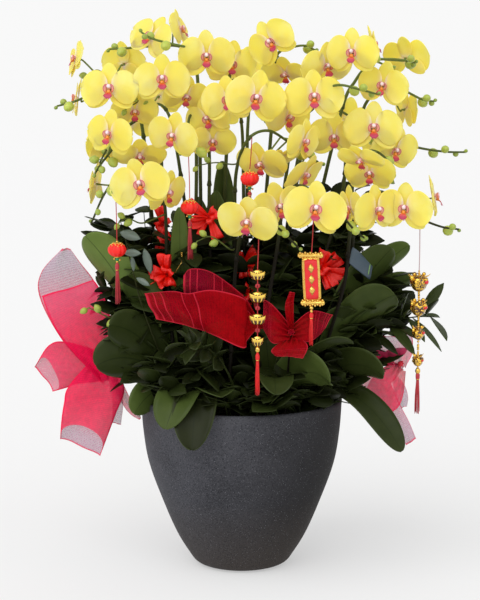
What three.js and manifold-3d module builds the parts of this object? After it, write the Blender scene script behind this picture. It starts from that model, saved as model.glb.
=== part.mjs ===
// A potted moth orchid display: arching flower spikes with yellow blooms and green buds, strap-leaved
// plants and leafy sprigs in bark, in a round dark grey pot, dressed with mesh bows, satin ties and charms.
// Millimetres, +Z up, the pot's base centre at the origin, the front of the display towards -Y.
import * as THREE from "three";
import { mergeVertices } from "three/addons/utils/BufferGeometryUtils.js";
import Module from "manifold-3d";

const wasm = await Module();
wasm.setup();

// The pot, as [height, outer radius] from the flat foot to the rim, and the bark in it.
const POT_HEIGHT = 298;
const POT_WALL = 9;
const POT_FLOOR = 14;
const POT_FLOOR_CURVE = 28;
const POT_SIDES = 32;
const POT_OUTSIDE = [
  [0, 67],
  [6, 82],
  [20, 93],
  [57, 115],
  [111, 138],
  [181, 163],
  [240, 173],
  [POT_HEIGHT, 177],
];
const BARK_EDGE = 276;
const BARK_SHOULDER = 287;
const BARK_SHOULDER_RADIUS = 96;
const BARK_CROWN = 290;
const BARK_SIDES = 20;
const STAND_DEPTH = 30;
const HOLE_DEPTH = 34;
const HOLE_ROOM = 0.7;
const HOLE_TOP = 300;
const COLLAR = 296;

// The gap that neighbours keep, and the wider one that leaves, ribbons and ties keep from stems.
const GAP = 0.35;
const STEM_ROOM = 0.5;

// A front view's line of sight: a place below that is given as [across, up, depth] is written on the upright
// plane through the pot's axis, and slid along its line of sight to its depth.
const SIGHT_DISTANCE = 3000;
const SIGHT_HEIGHT = 469;
const SIGHT_TILT = (8 * Math.PI) / 180;

// Stems, stalks and buds.
const STEM_SIDES = 4;
const STEM_FOOT_RADIUS = 3.6;
const STEM_TIP_RADIUS = 1.6;
const RISE_SHARE = 0.5;
const RISE_LEAN = 0.42;
const CURVE_STEP = 0.002;
const STALKS_FROM = 0.4;
const STALK_RADIUS = 1.5;
const STALK_SIDES = 3;
const BUD_RADIUS = 8.5;
const BUD_TIP_RADIUS = 3.2;
const BUD_REACH = 20;
const BUD_TIP_REACH = 8;
const BUD_LEAN = 0.5;
const BUD_RAISE = 0.3;
const BUD_POINT = 1.3;
const BUD_SIDES = 4;
const BUD_LAST = 0.985;

// One bloom of size 1, face on: u to its right, v up, w towards the viewer.
const PETALS = [
  [0, -8],
  [26, -26],
  [47, -2],
  [37, 23],
  [14, 27],
  [0, 10],
  [-14, 27],
  [-37, 23],
  [-47, -2],
  [-26, -26],
];
const SEPAL = [
  [13, 20],
  [7, 42],
  [-7, 42],
  [-13, 20],
];
const SEPAL_TURNS = [0, 128, 232];
const NOTCH_TURNS = [64, 180, 296];
const NOTCH_RADIUS = 8;
const SEPAL_DEPTH = -5;
const LIP_TIP = [0, -17, 13];
const HUB_SIDES = 5;
const HUB_RADIUS = 5;
const HUB_FRONT = 3;
const HUB_BACK = -2.6;
const STALK_START = -7.5;
const STALK_ELBOW = -15;
const STRAIGHT = 0.75;

// Every spike: its foot in the bark as [x, y]; where it arches, as [across, up, depth] points; its blooms, as
// [across, up, depth, yaw, pitch, roll, size]; how many buds it ends in, and where along it they start.
const SPIKES = {
  left_upper: {
    foot: [-78, -24],
    arch: [[-82, 795, -35], [-130, 840, -72], [-225, 838, -80], [-285, 815, -78], [-318, 806, -76]],
    blooms: [
      [-96, 822, -78, 15, -30, 5, 0.85],
      [-137, 850, -112, 5, 5, 0, 1],
      [-227, 834, -112, -10, 8, 0, 1.03],
    ],
    buds: 3,
    budsFrom: 0.84,
  },
  left_top: {
    foot: [-66, 22],
    arch: [[-76, 860, 10], [-100, 905, 5], [-150, 908, -26], [-195, 905, -30], [-228, 903, -32]],
    blooms: [
      [-105, 935, -12, 75, 15, 10, 0.85],
      [-155, 922, -60, -35, 20, 15, 0.95],
    ],
    buds: 3,
    budsFrom: 0.84,
  },
  top_left: {
    foot: [-42, 24],
    arch: [
      [-22, 820, -10],
      [-24, 868, -20],
      [-58, 902, -52],
      [-100, 908, -97],
      [-150, 920, -110],
      [-172, 932, -112],
    ],
    blooms: [
      [-18, 876, -52, 15, -5, 5, 0.95],
      [-60, 890, -92, 0, -12, 0, 1],
    ],
    buds: 4,
    budsFrom: 0.78,
  },
  left_far: {
    foot: [-132, 14],
    arch: [[-175, 790, 20], [-215, 842, 4], [-238, 862, -15], [-252, 866, -42], [-264, 848, -58]],
    blooms: [
      [-200, 878, 34, 150, 15, 0, 0.95],
      [-284, 886, -45, -75, 10, -20, 0.8],
      [-284, 818, 18, -85, 10, 0, 0.9],
    ],
    buds: 3,
    budsFrom: 0.84,
  },
  left_middle: {
    foot: [-134, -24],
    arch: [
      [-140, 740, -10],
      [-160, 785, -20],
      [-195, 772, -40],
      [-225, 730, -84],
      [-242, 708, -104],
      [-254, 690, -106],
    ],
    blooms: [
      [-184, 797, -80, 5, -30, 0, 0.85],
      [-228, 757, -148, -28, -5, 8, 0.95],
      [-176, 722, -112, 5, -50, 0, 0.95],
    ],
    buds: 5,
    budsFrom: 0.76,
  },
  centre_left: {
    foot: [-48, -48],
    arch: [
      [-56, 620, -46],
      [-56, 730, -40],
      [-66, 785, -44],
      [-88, 790, -72],
      [-92, 758, -108],
      [-86, 738, -120],
      [-106, 727, -124],
    ],
    blooms: [
      [-57, 783, -82, -20, -8, -20, 0.9],
      [-50, 745, -72, 5, -25, 0, 0.85],
      [-118, 754, -152, -25, -15, 15, 0.95],
    ],
    buds: 3,
    budsFrom: 0.86,
  },
  centre_top: {
    foot: [6, -32],
    arch: [[4, 620, -34], [2, 745, -48], [0, 800, -80], [18, 824, -94], [36, 802, -92], [44, 780, -92]],
    blooms: [
      [24, 818, -152, 8, -5, 10, 1.08],
      [-24, 815, -126, -8, 0, -5, 0.95],
    ],
    buds: 4,
    budsFrom: 0.86,
  },
  top_centre: {
    foot: [22, 14],
    arch: [[54, 800, 20], [58, 862, 12], [62, 895, -22], [85, 906, -45], [110, 909, -50], [128, 900, -52]],
    blooms: [
      [76, 862, -38, -20, -50, 0, 0.9],
      [52, 914, -74, -25, -8, -35, 0.95],
    ],
    buds: 4,
    budsFrom: 0.82,
  },
  centre_right: {
    foot: [34, -16],
    arch: [
      [84, 735, -30],
      [94, 792, -55],
      [125, 826, -98],
      [165, 842, -142],
      [205, 834, -150],
      [236, 826, -152],
    ],
    blooms: [
      [80, 786, -98, 28, -15, 10, 0.9],
      [125, 820, -138, 0, 0, 0, 1.05],
    ],
    buds: 4,
    budsFrom: 0.78,
  },
  right_top_inner: {
    foot: [52, 16],
    arch: [
      [115, 800, 0],
      [130, 862, -30],
      [152, 890, -48],
      [187, 890, -74],
      [225, 884, -84],
      [262, 870, -88],
    ],
    blooms: [
      [146, 874, -86, 22, -22, -10, 1],
      [190, 896, -118, -20, -5, 0, 0.95],
    ],
    buds: 4,
    budsFrom: 0.8,
  },
  right_top_outer: {
    foot: [76, 22],
    arch: [
      [170, 790, 30],
      [196, 850, 26],
      [225, 882, 6],
      [255, 886, -20],
      [280, 884, -30],
      [298, 880, -32],
    ],
    blooms: [
      [226, 908, 66, 95, 15, 0, 0.85],
      [282, 888, 48, 150, 20, 0, 0.95],
    ],
    buds: 4,
    budsFrom: 0.84,
  },
  right_upper: {
    foot: [92, 4],
    arch: [
      [200, 760, 10],
      [216, 814, -6],
      [245, 834, -30],
      [275, 834, -60],
      [310, 818, -72],
      [332, 814, -75],
    ],
    blooms: [
      [243, 840, -98, -22, -5, 10, 0.95],
      [284, 800, -24, 110, 0, 0, 0.9],
    ],
    buds: 4,
    budsFrom: 0.82,
  },
  right_middle: {
    foot: [82, -54],
    arch: [
      [172, 640, -36],
      [184, 742, -40],
      [212, 772, -66],
      [250, 752, -48],
      [300, 736, -60],
      [350, 728, -70],
      [388, 727, -72],
    ],
    blooms: [
      [160, 752, -82, -5, -18, 0, 0.97],
      [227, 767, -108, 3, 5, 0, 1.05],
      [264, 729, -86, 25, -20, 5, 0.95],
    ],
    buds: 4,
    budsFrom: 0.8,
  },
  right_inner: {
    foot: [104, -64],
    arch: [
      [190, 540, -60],
      [192, 650, -70],
      [196, 712, -90],
      [222, 730, -112],
      [250, 715, -124],
      [264, 672, -130],
    ],
    blooms: [
      [207, 714, -186, -30, -55, 0, 0.85],
      [222, 690, -146, -10, -25, 0, 0.9],
    ],
    buds: 4,
    budsFrom: 0.82,
  },
  centre_low: {
    foot: [-12, -62],
    arch: [
      [-12, 620, -60],
      [-8, 700, -100],
      [12, 750, -148],
      [46, 764, -132],
      [82, 744, -104],
      [112, 722, -98],
      [142, 704, -98],
    ],
    blooms: [
      [34, 706, -128, -25, -35, 0, 0.95],
      [64, 716, -108, 40, -60, 0, 0.85],
      [106, 744, -150, 52, -15, 5, 0.9],
      [108, 688, -126, 50, -35, 0, 0.9],
    ],
    buds: 4,
    budsFrom: 0.82,
    stalksFrom: 0.7,
  },
  left_front: {
    foot: [-112, -70],
    arch: [
      [-130, 520, -70],
      [-134, 640, -84],
      [-160, 700, -116],
      [-205, 694, -138],
      [-237, 656, -150],
      [-262, 602, -156],
    ],
    blooms: [
      [-130, 656, -126, 48, -18, 0, 0.9],
      [-176, 669, -176, -5, 5, -15, 1.05],
      [-254, 672, -74, -100, 5, 10, 0.9],
    ],
    buds: 4,
    budsFrom: 0.8,
  },
  front_middle: {
    foot: [22, -118],
    arch: [
      [62, 560, -120],
      [74, 640, -150],
      [98, 668, -190],
      [123, 660, -216],
      [160, 634, -226],
      [196, 592, -236],
      [217, 576, -240],
    ],
    blooms: [
      [66, 630, -196, 14, -5, -15, 1],
      [127, 626, -256, 8, 5, 8, 1.08],
    ],
    buds: 4,
    budsFrom: 0.82,
  },
  front_low: {
    foot: [-22, -124],
    arch: [
      [-10, 530, -150],
      [2, 600, -194],
      [14, 628, -212],
      [36, 618, -220],
      [72, 588, -230],
      [104, 556, -234],
    ],
    blooms: [[10, 606, -250, -15, -28, 10, 1.05]],
    buds: 4,
    budsFrom: 0.8,
  },
  right_front: {
    foot: [126, -56],
    arch: [
      [180, 500, -110],
      [192, 610, -130],
      [218, 656, -156],
      [262, 652, -150],
      [310, 614, -154],
      [346, 598, -166],
      [378, 593, -172],
    ],
    blooms: [
      [190, 628, -172, -65, -15, 0, 0.9],
      [234, 625, -204, 38, -5, -5, 0.97],
      [283, 628, -184, -18, -5, 5, 1],
      [334, 648, -108, 80, 10, 15, 0.9],
    ],
    buds: 3,
    budsFrom: 0.88,
  },
  back_left: {
    foot: [-66, 66],
    arch: [[-110, 720, 70], [-130, 800, 84], [-165, 804, 98], [-215, 760, 102], [-250, 700, 102]],
    blooms: [
      [-142, 822, 134, 172, 0, 0, 0.95],
      [-190, 778, 138, -160, -5, 10, 1],
      [-238, 735, 130, -138, 0, -10, 0.9],
    ],
    buds: 3,
    budsFrom: 0.86,
  },
  back_centre: {
    foot: [10, 62],
    arch: [[10, 740, 60], [12, 830, 76], [-12, 852, 98], [-50, 815, 112], [-78, 762, 112]],
    blooms: [
      [12, 866, 134, 178, 5, 0, 1],
      [-40, 800, 148, -172, -5, 5, 0.95],
    ],
    buds: 3,
    budsFrom: 0.86,
  },
  back_right: {
    foot: [48, 92],
    arch: [[100, 730, 70], [120, 800, 78], [165, 800, 92], [215, 765, 98], [255, 715, 98]],
    blooms: [
      [128, 824, 124, 172, 0, 0, 0.95],
      [182, 780, 134, 160, -5, -10, 1],
      [242, 742, 128, 140, 0, 10, 0.95],
    ],
    buds: 3,
    budsFrom: 0.86,
  },
};

// The strap-leaved plants: each crown's foot in the bark, and its leaves, as [tip across, tip up, tip depth,
// width, lift of the middle, twist in degrees]. Stations are [share of the length, share of the width].
const LEAF_STATIONS = [
  [0, 0.2],
  [0.3, 0.8],
  [0.62, 1],
  [0.88, 0.72],
];
const UPRIGHT = 0.3;
const LEAF_FOLD = 0.14;
const LEAF_HALF = 0.9;
const CROWN_RADIUS = 12;
const CROWN_TOP_RADIUS = 9;
const CROWN_SIDES = 6;
const CROWN_HEIGHT = 320;
const LEAF_ROOT = 302;
const LEAF_STEP = 3.5;
const LEAF_SEAT = 4;
const PLANTS = {
  plant_left: {
    foot: [-104, -38],
    leaves: [
      [-272, 582, -66, 84, 60, 62],
      [-216, 596, -20, 52, 50, -55],
      [-256, 352, -96, 80, 70, 72],
      [-232, 424, -130, 70, 60, 64],
      [-196, 514, -92, 66, 45, 52],
    ],
  },
  plant_front_left: {
    foot: [-66, -92],
    leaves: [
      [-134, 238, -206, 70, 84, -10],
      [-88, 200, -216, 74, 110, 8],
      [-34, 296, -212, 60, 24, 0],
      [-112, 452, -136, 60, 40, -30],
      [-36, 430, -146, 58, 30, 15],
    ],
  },
  plant_front_right: {
    foot: [52, -100],
    leaves: [
      [156, 322, -206, 84, 70, -52],
      [60, 300, -222, 62, 70, -10],
      [140, 430, -150, 66, 40, -34],
      [36, 440, -140, 58, 40, 20],
      [196, 392, -150, 64, 50, -20],
    ],
  },
  plant_right: {
    foot: [112, -26],
    leaves: [
      [284, 198, -120, 50, 96, 12],
      [250, 334, -150, 60, 70, -60],
      [262, 560, -58, 76, 60, -62],
      [268, 478, -112, 84, 60, -52],
      [196, 452, -96, 66, 40, -30],
    ],
  },
  plant_right_rear: {
    foot: [96, 52],
    leaves: [
      [292, 566, 6, 54, 70, -60],
      [300, 508, 0, 60, 70, -48],
      [250, 400, 120, 70, 80, 10],
      [130, 420, 190, 72, 80, 0],
    ],
  },
  plant_rear: {
    foot: [-22, 104],
    leaves: [
      [-10, 330, 250, 74, 110, 0],
      [-90, 470, 190, 70, 70, 20],
      [60, 560, 150, 66, 50, -20],
      [-60, 610, 110, 60, 40, 10],
    ],
  },
  plant_left_rear: {
    foot: [-106, 52],
    leaves: [
      [-250, 420, 110, 74, 90, -12],
      [-220, 520, 100, 66, 60, -50],
      [-130, 360, 210, 72, 90, 0],
    ],
  },
  plant_middle: {
    foot: [-20, -4],
    leaves: [
      [-34, 712, 10, 46, 0, 25],
      [-44, 660, -20, 50, 0, -20],
      [-76, 650, 30, 40, 0, 30],
      [60, 600, 10, 54, 10, -25],
    ],
  },
};

// The leafy sprigs: foot, tip, number and length of the leaves, their width over their length, and how far up
// the stem they start.
const SPRIG_RADIUS = 2.2;
const SPRIG_STEPS = 6;
const SPRIG_LEAVES_END = 0.97;
const SPRIG_LEAF_TURN = 2.4;
const SPRIG_LEAF_LEAN = 0.6;
const SPRIG_LEAF_BROAD = 0.45;
const SPRIG_BEND = 0.3;
const SPRIG_LEAF_HALF = 1.2;
const SPRIGS = {
  sprig_left: { foot: [-142, 12], tip: [-248, 484, 6], count: 9, length: 50, slim: 0.26, from: 0.5 },
  sprig_right: { foot: [142, 16], tip: [338, 440, -40], count: 9, length: 78, slim: 0.26, from: 0.5 },
  sprig_front: { foot: [0, -146], tip: [-100, 392, -212], count: 9, length: 42, slim: 0.6, from: 0.4 },
  sprig_back_left: { foot: [-60, 128], tip: [-150, 500, 160], count: 8, length: 66, slim: 0.5, from: 0.6 },
  sprig_back_right: { foot: [58, 132], tip: [170, 545, 160], count: 8, length: 66, slim: 0.5, from: 0.62 },
};

// Mesh ribbon: each strip is a row of stations, [across, up, across, up, depth], the two ends of a line over
// the ribbon. Its bow is tied to a florist's pick that stands in the bark.
const RIBBON_HALF = 0.5;
const PICK_RADIUS = 1.6;
const PICK_SIDES = 4;
const KNOT_SIDES = 6;
const BOWS = {
  bow_left: {
    knot: [-235, 355, -14, 42, 20],
    pick: [[-134, 36], [-140, 36, 330]],
    strips: [
      [
        [-244, 320, -213, 377, 0],
        [-290, 370, -225, 421, -14],
        [-321, 409, -237, 466, -20],
        [-340, 448, -248, 490, -16],
        [-349, 476, -258, 504, -6],
      ],
      [
        [-244, 322, -213, 379, 22],
        [-310, 392, -238, 462, 40],
        [-352, 470, -258, 504, 44],
        [-350, 516, -280, 534, 36],
        [-312, 560, -298, 560, 26],
      ],
      [
        [-240, 377, -232, 325, 12],
        [-307, 395, -290, 319, 16],
        [-339, 388, -307, 313, 18],
        [-365, 349, -333, 306, 26],
      ],
      [
        [-262, 366, -216, 344, 6],
        [-305, 315, -214, 306, -2],
        [-316, 266, -227, 257, -8],
        [-318, 223, -241, 216, -4],
        [-310, 212, -249, 193, 10],
      ],
      [
        [-240, 345, -222, 340, 30],
        [-228, 299, -209, 292, 30],
        [-228, 250, -213, 246, 28],
      ],
      [
        [-238, 346, -222, 350, 30],
        [-211, 285, -197, 296, 36],
        [-195, 264, -185, 278, 44],
        [-180, 255, -176, 269, 54],
      ],
    ],
  },
  bow_right: {
    knot: [280, 356, 6, 38, 15],
    pick: [[136, 44], [142, 44, 330]],
    strips: [
      [
        [272, 349, 292, 354, 20],
        [252, 377, 300, 381, 10],
        [232, 402, 293, 400, 2],
      ],
      [
        [270, 359, 288, 342, 24],
        [256, 345, 284, 301, 16],
        [239, 327, 272, 274, 6],
        [220, 310, 251, 266, 14],
        [196, 304, 214, 272, 36],
      ],
      [
        [272, 350, 288, 350, 30],
        [221, 308, 264, 320, 26],
        [254, 263, 284, 277, 24],
        [293, 209, 309, 221, 22],
      ],
    ],
  },
  bow_front: {
    knot: [87, 412, -210, -180, 15],
    pick: [[74, -126], [76, -130, 340]],
    strips: [
      [
        [-171, 480, -150, 435, -176],
        [-123, 485, -97, 423, -196],
        [-95, 481, -73, 416, -190],
        [-50, 487, -45, 405, -202],
        [10, 469, 4, 384, -202],
        [86, 430, 86, 394, -194],
      ],
      [
        [-104, 522, -101, 469, -176],
        [-50, 519, -50, 451, -184],
        [8, 474, 8, 420, -186],
        [86, 430, 86, 404, -188],
      ],
      [
        [84, 426, 84, 398, -200],
        [55, 460, 55, 392, -203],
        [38, 472, 38, 416, -200],
      ],
      [
        [90, 426, 90, 398, -198],
        [122, 450, 120, 395, -203],
        [160, 443, 140, 409, -200],
      ],
      [
        [80, 405, 98, 405, -196],
        [53, 381, 116, 388, -204],
        [59, 370, 108, 366, -202],
      ],
    ],
  },
};

// Satin ties: the spike that each one is tied round, its height there, and its flaps as [across, up, depth]
// reaches from the knot.
const TIE_KNOT_RADIUS = 8.5;
const TIE_KNOT_HALF = 7;
const TIE_FLAP_HALF = 0.9;
const TIE_FLAP_ROWS = [
  [0.1, 0.4],
  [1.1, 1],
];
const TIES = {
  tie_left: {
    stem: "left_front",
    height: 524,
    width: 20,
    flaps: [
      [-22, 26, -8],
      [-30, 2, -16],
      [6, -26, -14],
    ],
  },
  tie_upper: {
    stem: "centre_left",
    height: 618,
    width: 18,
    flaps: [
      [-34, 34, -10],
      [-26, -8, -20],
      [30, -18, -14],
    ],
  },
  tie_centre: {
    stem: "centre_top",
    height: 520,
    width: 20,
    flaps: [
      [24, 22, -16],
      [-22, 8, -22],
      [14, -30, -18],
    ],
  },
  tie_right: {
    stem: "right_middle",
    height: 530,
    width: 24,
    flaps: [
      [-34, 10, -14],
      [30, 16, -12],
      [4, 30, -10],
    ],
  },
};

// Charms hang straight down from a stem on a thread: the stem, how far across, and where on each hanging
// charm its pieces lie, as heights.
const THREAD_RADIUS = 0.8;
const THREAD_SIDES = 8;
const THREAD_GAP = 0.15;
const CHARM_SIDES = 6;
const LANTERN = [
  [0, 0],
  [4, 0],
  [5, -5],
  [13.5, -9],
  [15, -15],
  [12.5, -22],
  [5, -26],
  [2.2, -34],
  [3, -40],
  [4.5, -74],
  [0, -74],
];
const TASSEL = [
  [0, 0],
  [2.4, 0],
  [4.2, -10],
  [3, -15],
  [4.6, -58],
  [0, -58],
];
const TASSEL_LENGTH = 58;
const LANTERNS = {
  lantern_left: { stem: "left_front", across: -218, end: 574 },
  lantern_middle: { stem: "centre_left", across: -90, end: 648 },
  lantern_right: { stem: "centre_low", across: 14, end: 698 },
};
// An ingot's rings, as [share of its height, share of its width]; a string's ingots are [up, width, tall].
const INGOT_RINGS = [
  [-0.5, 0.45],
  [0.1, 1],
  [0.12, 0.6],
];
const INGOT_TOP = 0.5;
const INGOT_DEPTH = 0.55;
const INGOT_SIDES = 6;
const LINK_RADIUS = 1;
const LINK_SIDES = 3;
const STRINGS = {
  ingots_front: {
    stem: "front_low",
    across: 28,
    end: 526,
    ingots: [
      [513, 25, 20],
      [474, 28, 21],
      [435, 28, 21],
      [396, 20, 20],
    ],
    tassel: 376,
    tasselLength: 72,
  },
  ingots_right: {
    stem: "right_front",
    across: 312,
    end: 524,
    ingots: [
      [501, 44, 36],
      [456, 33, 33],
      [411, 25, 32],
      [362, 22, 28],
    ],
    tassel: 342,
    tasselLength: 72,
  },
};
const SCROLL = {
  stem: "front_middle",
  across: 123,
  width: 26,
  roller: 42,
  top: 548,
  bottom: 463,
};
const ROLLER_RADIUS = 4.5;
const ROLLER_HALF = ROLLER_RADIUS * Math.cos(Math.PI / KNOT_SIDES);
const SCROLL_TASSEL_LENGTH = 66;
const SCROLL_HALF = 2;

// The plant tag: the stem that it stands by, its height there, its size and half thickness, and its lean in
// degrees, with its middle aside and forward of the stem.
const TAG = { stem: "right_inner", height: 540, size: [38, 48], half: 0.8, lean: 18, aside: 14, forward: 6 };

// The place at a depth that a front view sees over a point of the plane through the pot's axis.
function sighted(across, up, depth) {
  const back = SIGHT_DISTANCE * Math.cos(SIGHT_TILT);
  const eye = new THREE.Vector3(0, -back, SIGHT_HEIGHT + SIGHT_DISTANCE * Math.sin(SIGHT_TILT));
  return eye.lerp(new THREE.Vector3(across, 0, up), (depth + back) / back);
}

function radians(degrees) {
  return (degrees * Math.PI) / 180;
}

// A solid of a closed three.js geometry.
function solidOf(geometry) {
  const bare = new THREE.BufferGeometry().setAttribute("position", geometry.getAttribute("position"));
  bare.setIndex(geometry.index);
  const merged = mergeVertices(bare, 1e-4);
  return new wasm.Manifold(
    new wasm.Mesh({
      numProp: 3,
      vertProperties: new Float32Array(merged.attributes.position.array),
      triVerts: new Uint32Array(merged.index.array),
    }),
  );
}

// A solid of points and triangles, turned the right way out.
function solidFromFaces(points, faces) {
  const geometry = new THREE.BufferGeometry();
  const numbers = points.flatMap((p) => [p.x, p.y, p.z]);
  geometry.setAttribute("position", new THREE.Float32BufferAttribute(numbers, 3));
  geometry.setIndex(faces.flat());
  const solid = solidOf(geometry);
  return solid.volume() > 0 ? solid : solidFromFaces(points, faces.map(([a, b, c]) => [a, c, b]));
}

function joined(solids) {
  return wasm.Manifold.union(solids);
}

function largestPiece(solid) {
  return solid.decompose().reduce((best, piece) => (piece.volume() > best.volume() ? piece : best));
}

function geometryOf(solid) {
  const mesh = solid.getMesh();
  const geometry = new THREE.BufferGeometry();
  geometry.setAttribute("position", new THREE.Float32BufferAttribute(mesh.vertProperties, 3));
  geometry.setIndex(new THREE.Uint32BufferAttribute(mesh.triVerts, 1));
  return geometry;
}

// The faces of a closed skin over rows of rings, each ring of the same number of points.
function skinFaces(rows, count) {
  const faces = [];
  for (let i = 0; i + 1 < rows; i++)
    for (let k = 0; k < count; k++) {
      const [a, b] = [i * count + k, i * count + ((k + 1) % count)];
      faces.push([a, b, b + count], [a, b + count, a + count]);
    }
  const last = (rows - 1) * count;
  for (let k = 1; k + 1 < count; k++) faces.push([0, k + 1, k], [last, last + k, last + k + 1]);
  return faces;
}

// A tube along points, with a radius at each point and closed ends.
function tubeSolid(points, radii, sides) {
  const rings = [];
  let side = new THREE.Vector3(0, 1, 0);
  points.forEach((point, i) => {
    const after = points[Math.min(i + 1, points.length - 1)];
    const along = after.clone().sub(points[Math.max(i - 1, 0)]).normalize();
    side = side.clone().addScaledVector(along, -side.dot(along)).normalize();
    const up = along.clone().cross(side);
    for (let k = 0; k < sides; k++) {
      const turn = (2 * Math.PI * k) / sides;
      const spot = point.clone().addScaledVector(side, radii[i] * Math.cos(turn));
      rings.push(spot.addScaledVector(up, radii[i] * Math.sin(turn)));
    }
  });
  return solidFromFaces(rings, skinFaces(points.length, sides));
}

function rodSolid(from, to, radius, sides) {
  return tubeSolid([from, to], [radius, radius], sides);
}

// A bud: from its root to its tip, with one belt of corners at a share of the way.
function budSolid(root, tip, share, radius, sides) {
  const axis = tip.clone().sub(root).normalize();
  const side = new THREE.Vector3(axis.y, axis.z, axis.x).cross(axis).normalize();
  const up = axis.clone().cross(side);
  const centre = root.clone().lerp(tip, share);
  const points = [root, tip];
  for (let k = 0; k < sides; k++) {
    const turn = (2 * Math.PI * k) / sides;
    const spot = centre.clone().addScaledVector(side, radius * Math.cos(turn));
    points.push(spot.addScaledVector(up, radius * Math.sin(turn)));
  }
  const faces = [];
  for (let k = 0; k < sides; k++) {
    const [a, b] = [2 + k, 2 + ((k + 1) % sides)];
    faces.push([0, b, a], [1, a, b]);
  }
  return solidFromFaces(points, faces);
}

// A leaflet: a kite with a raised midrib, from its root to its tip.
function leafletSolid(root, tip, width, half) {
  const along = tip.clone().sub(root);
  const side = along.clone().cross(new THREE.Vector3(0, 0, 1)).normalize();
  const up = side.clone().cross(along).normalize();
  const broad = root.clone().lerp(tip, SPRIG_LEAF_BROAD);
  const points = [root, broad.clone().addScaledVector(side, width / 2), tip];
  points.push(broad.clone().addScaledVector(side, -width / 2));
  points.push(broad.clone().addScaledVector(up, half), broad.clone().addScaledVector(up, -half));
  const faces = [0, 1, 2, 3].flatMap((k) => [
    [k, (k + 1) % 4, 4],
    [(k + 1) % 4, k, 5],
  ]);
  return solidFromFaces(points, faces);
}

function bloomTurn(yaw, pitch, roll) {
  return new THREE.Matrix4()
    .makeRotationZ(radians(yaw))
    .multiply(new THREE.Matrix4().makeRotationX(radians(-pitch)))
    .multiply(new THREE.Matrix4().makeRotationY(radians(roll)));
}

function ring(radius, depth, sides) {
  const spots = [];
  for (let k = 0; k < sides; k++) {
    const turn = (2 * Math.PI * k) / sides;
    spots.push([radius * Math.sin(turn), -radius * Math.cos(turn), depth]);
  }
  return spots;
}

// How far round the bloom a point lies, from straight down and anticlockwise.
function wayRound([u, v]) {
  const turn = Math.atan2(u, -v);
  return turn < -1e-6 ? turn + 2 * Math.PI : turn;
}

function turned(u, v, degrees) {
  const [c, s] = [Math.cos(radians(degrees)), Math.sin(radians(degrees))];
  return [u * c - v * s, u * s + v * c, SEPAL_DEPTH];
}

function sepalOutline() {
  const sepals = SEPAL_TURNS.flatMap((degrees) => SEPAL.map(([u, v]) => turned(u, v, degrees)));
  const notches = NOTCH_TURNS.map((degrees) => turned(0, NOTCH_RADIUS, degrees));
  return [...sepals, ...notches].sort((a, b) => wayRound(a) - wayRound(b));
}

// How far round the bloom the corner after this one lies: a whole turn after the last one.
function wayToNext(spots, i) {
  if (i >= spots.length) return Infinity;
  return i + 1 < spots.length ? wayRound(spots[i + 1]) : 2 * Math.PI;
}

// The faces between two rings of points that both go once round the bloom.
function zippedFaces(inner, outer, innerStart, outerStart) {
  const faces = [];
  let [i, j] = [0, 0];
  while (i < inner.length || j < outer.length) {
    const [a, b] = [innerStart + (i % inner.length), outerStart + (j % outer.length)];
    if (wayToNext(inner, i) < wayToNext(outer, j)) {
      i += 1;
      faces.push([a, b, innerStart + (i % inner.length)]);
    } else {
      j += 1;
      faces.push([a, b, outerStart + (j % outer.length)]);
    }
  }
  return faces;
}

// The corners that carry a bloom's stalk on from its back to the stem, with an elbow where it turns.
function stalkRings(corners, seat, back, elbow, end) {
  const onward = end.clone().sub(elbow).normalize();
  const bends = [[end, onward]];
  if (back.dot(onward) < STRAIGHT) bends.unshift([elbow, back.clone().add(onward).normalize()]);
  return bends.map(([spot, facing]) => {
    const bend = new THREE.Quaternion().setFromUnitVectors(back, facing);
    return corners.map((corner) => corner.clone().sub(seat).applyQuaternion(bend).add(spot));
  });
}

// A bloom in one skin from front to back: the lip, two broad petals, three sepals behind them, and the stalk
// that runs back to the stem.
function bloomSolid([across, up, depth, yaw, pitch, roll, size], curve, stalksFrom) {
  const turn = bloomTurn(yaw, pitch, roll);
  const centre = sighted(across, up, depth);
  const place = ([u, v, w]) =>
    new THREE.Vector3(u, -w, v).multiplyScalar(size).applyMatrix4(turn).add(centre);
  const outlines = [
    ring(HUB_RADIUS, HUB_FRONT, HUB_SIDES),
    PETALS.map(([u, v]) => [u, v, 0]),
    ring(HUB_RADIUS, HUB_BACK, HUB_SIDES),
    sepalOutline(),
    ring(STALK_RADIUS, STALK_START, STALK_SIDES),
  ];
  const rings = outlines.map((spots) => spots.map(place));
  const [seat, elbow] = [STALK_START, STALK_ELBOW].map((w) => place([0, 0, w]));
  const back = elbow.clone().sub(seat).normalize();
  const end = nearestOn(curve, elbow, stalksFrom);
  const stalk = stalkRings(rings.at(-1), seat, back, elbow, end);
  outlines.push(...stalk.map(() => outlines.at(-1)));
  const faces = outlines[0].map((_, k) => [0, 1 + k, 1 + ((k + 1) % HUB_SIDES)]);
  let start = 1;
  for (let i = 1; i < outlines.length; i++) {
    const next = start + outlines[i - 1].length;
    faces.push(...zippedFaces(outlines[i - 1], outlines[i], start, next));
    start = next;
  }
  faces.push([start + 2, start + 1, start]);
  return solidFromFaces([place(LIP_TIP), ...rings.flat(), ...stalk.flat()], faces);
}

// A spike's route above its collar.
function spikeCurve({ foot, arch }) {
  const spots = arch.map((p) => sighted(...p));
  const collar = new THREE.Vector3(foot[0], foot[1], COLLAR);
  const rise = new THREE.Vector3(
    collar.x + RISE_LEAN * (spots[0].x - collar.x),
    collar.y + RISE_LEAN * (spots[0].y - collar.y),
    collar.z + RISE_SHARE * (spots[0].z - collar.z),
  );
  return new THREE.CatmullRomCurve3([collar, rise, ...spots], false, "catmullrom");
}

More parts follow.
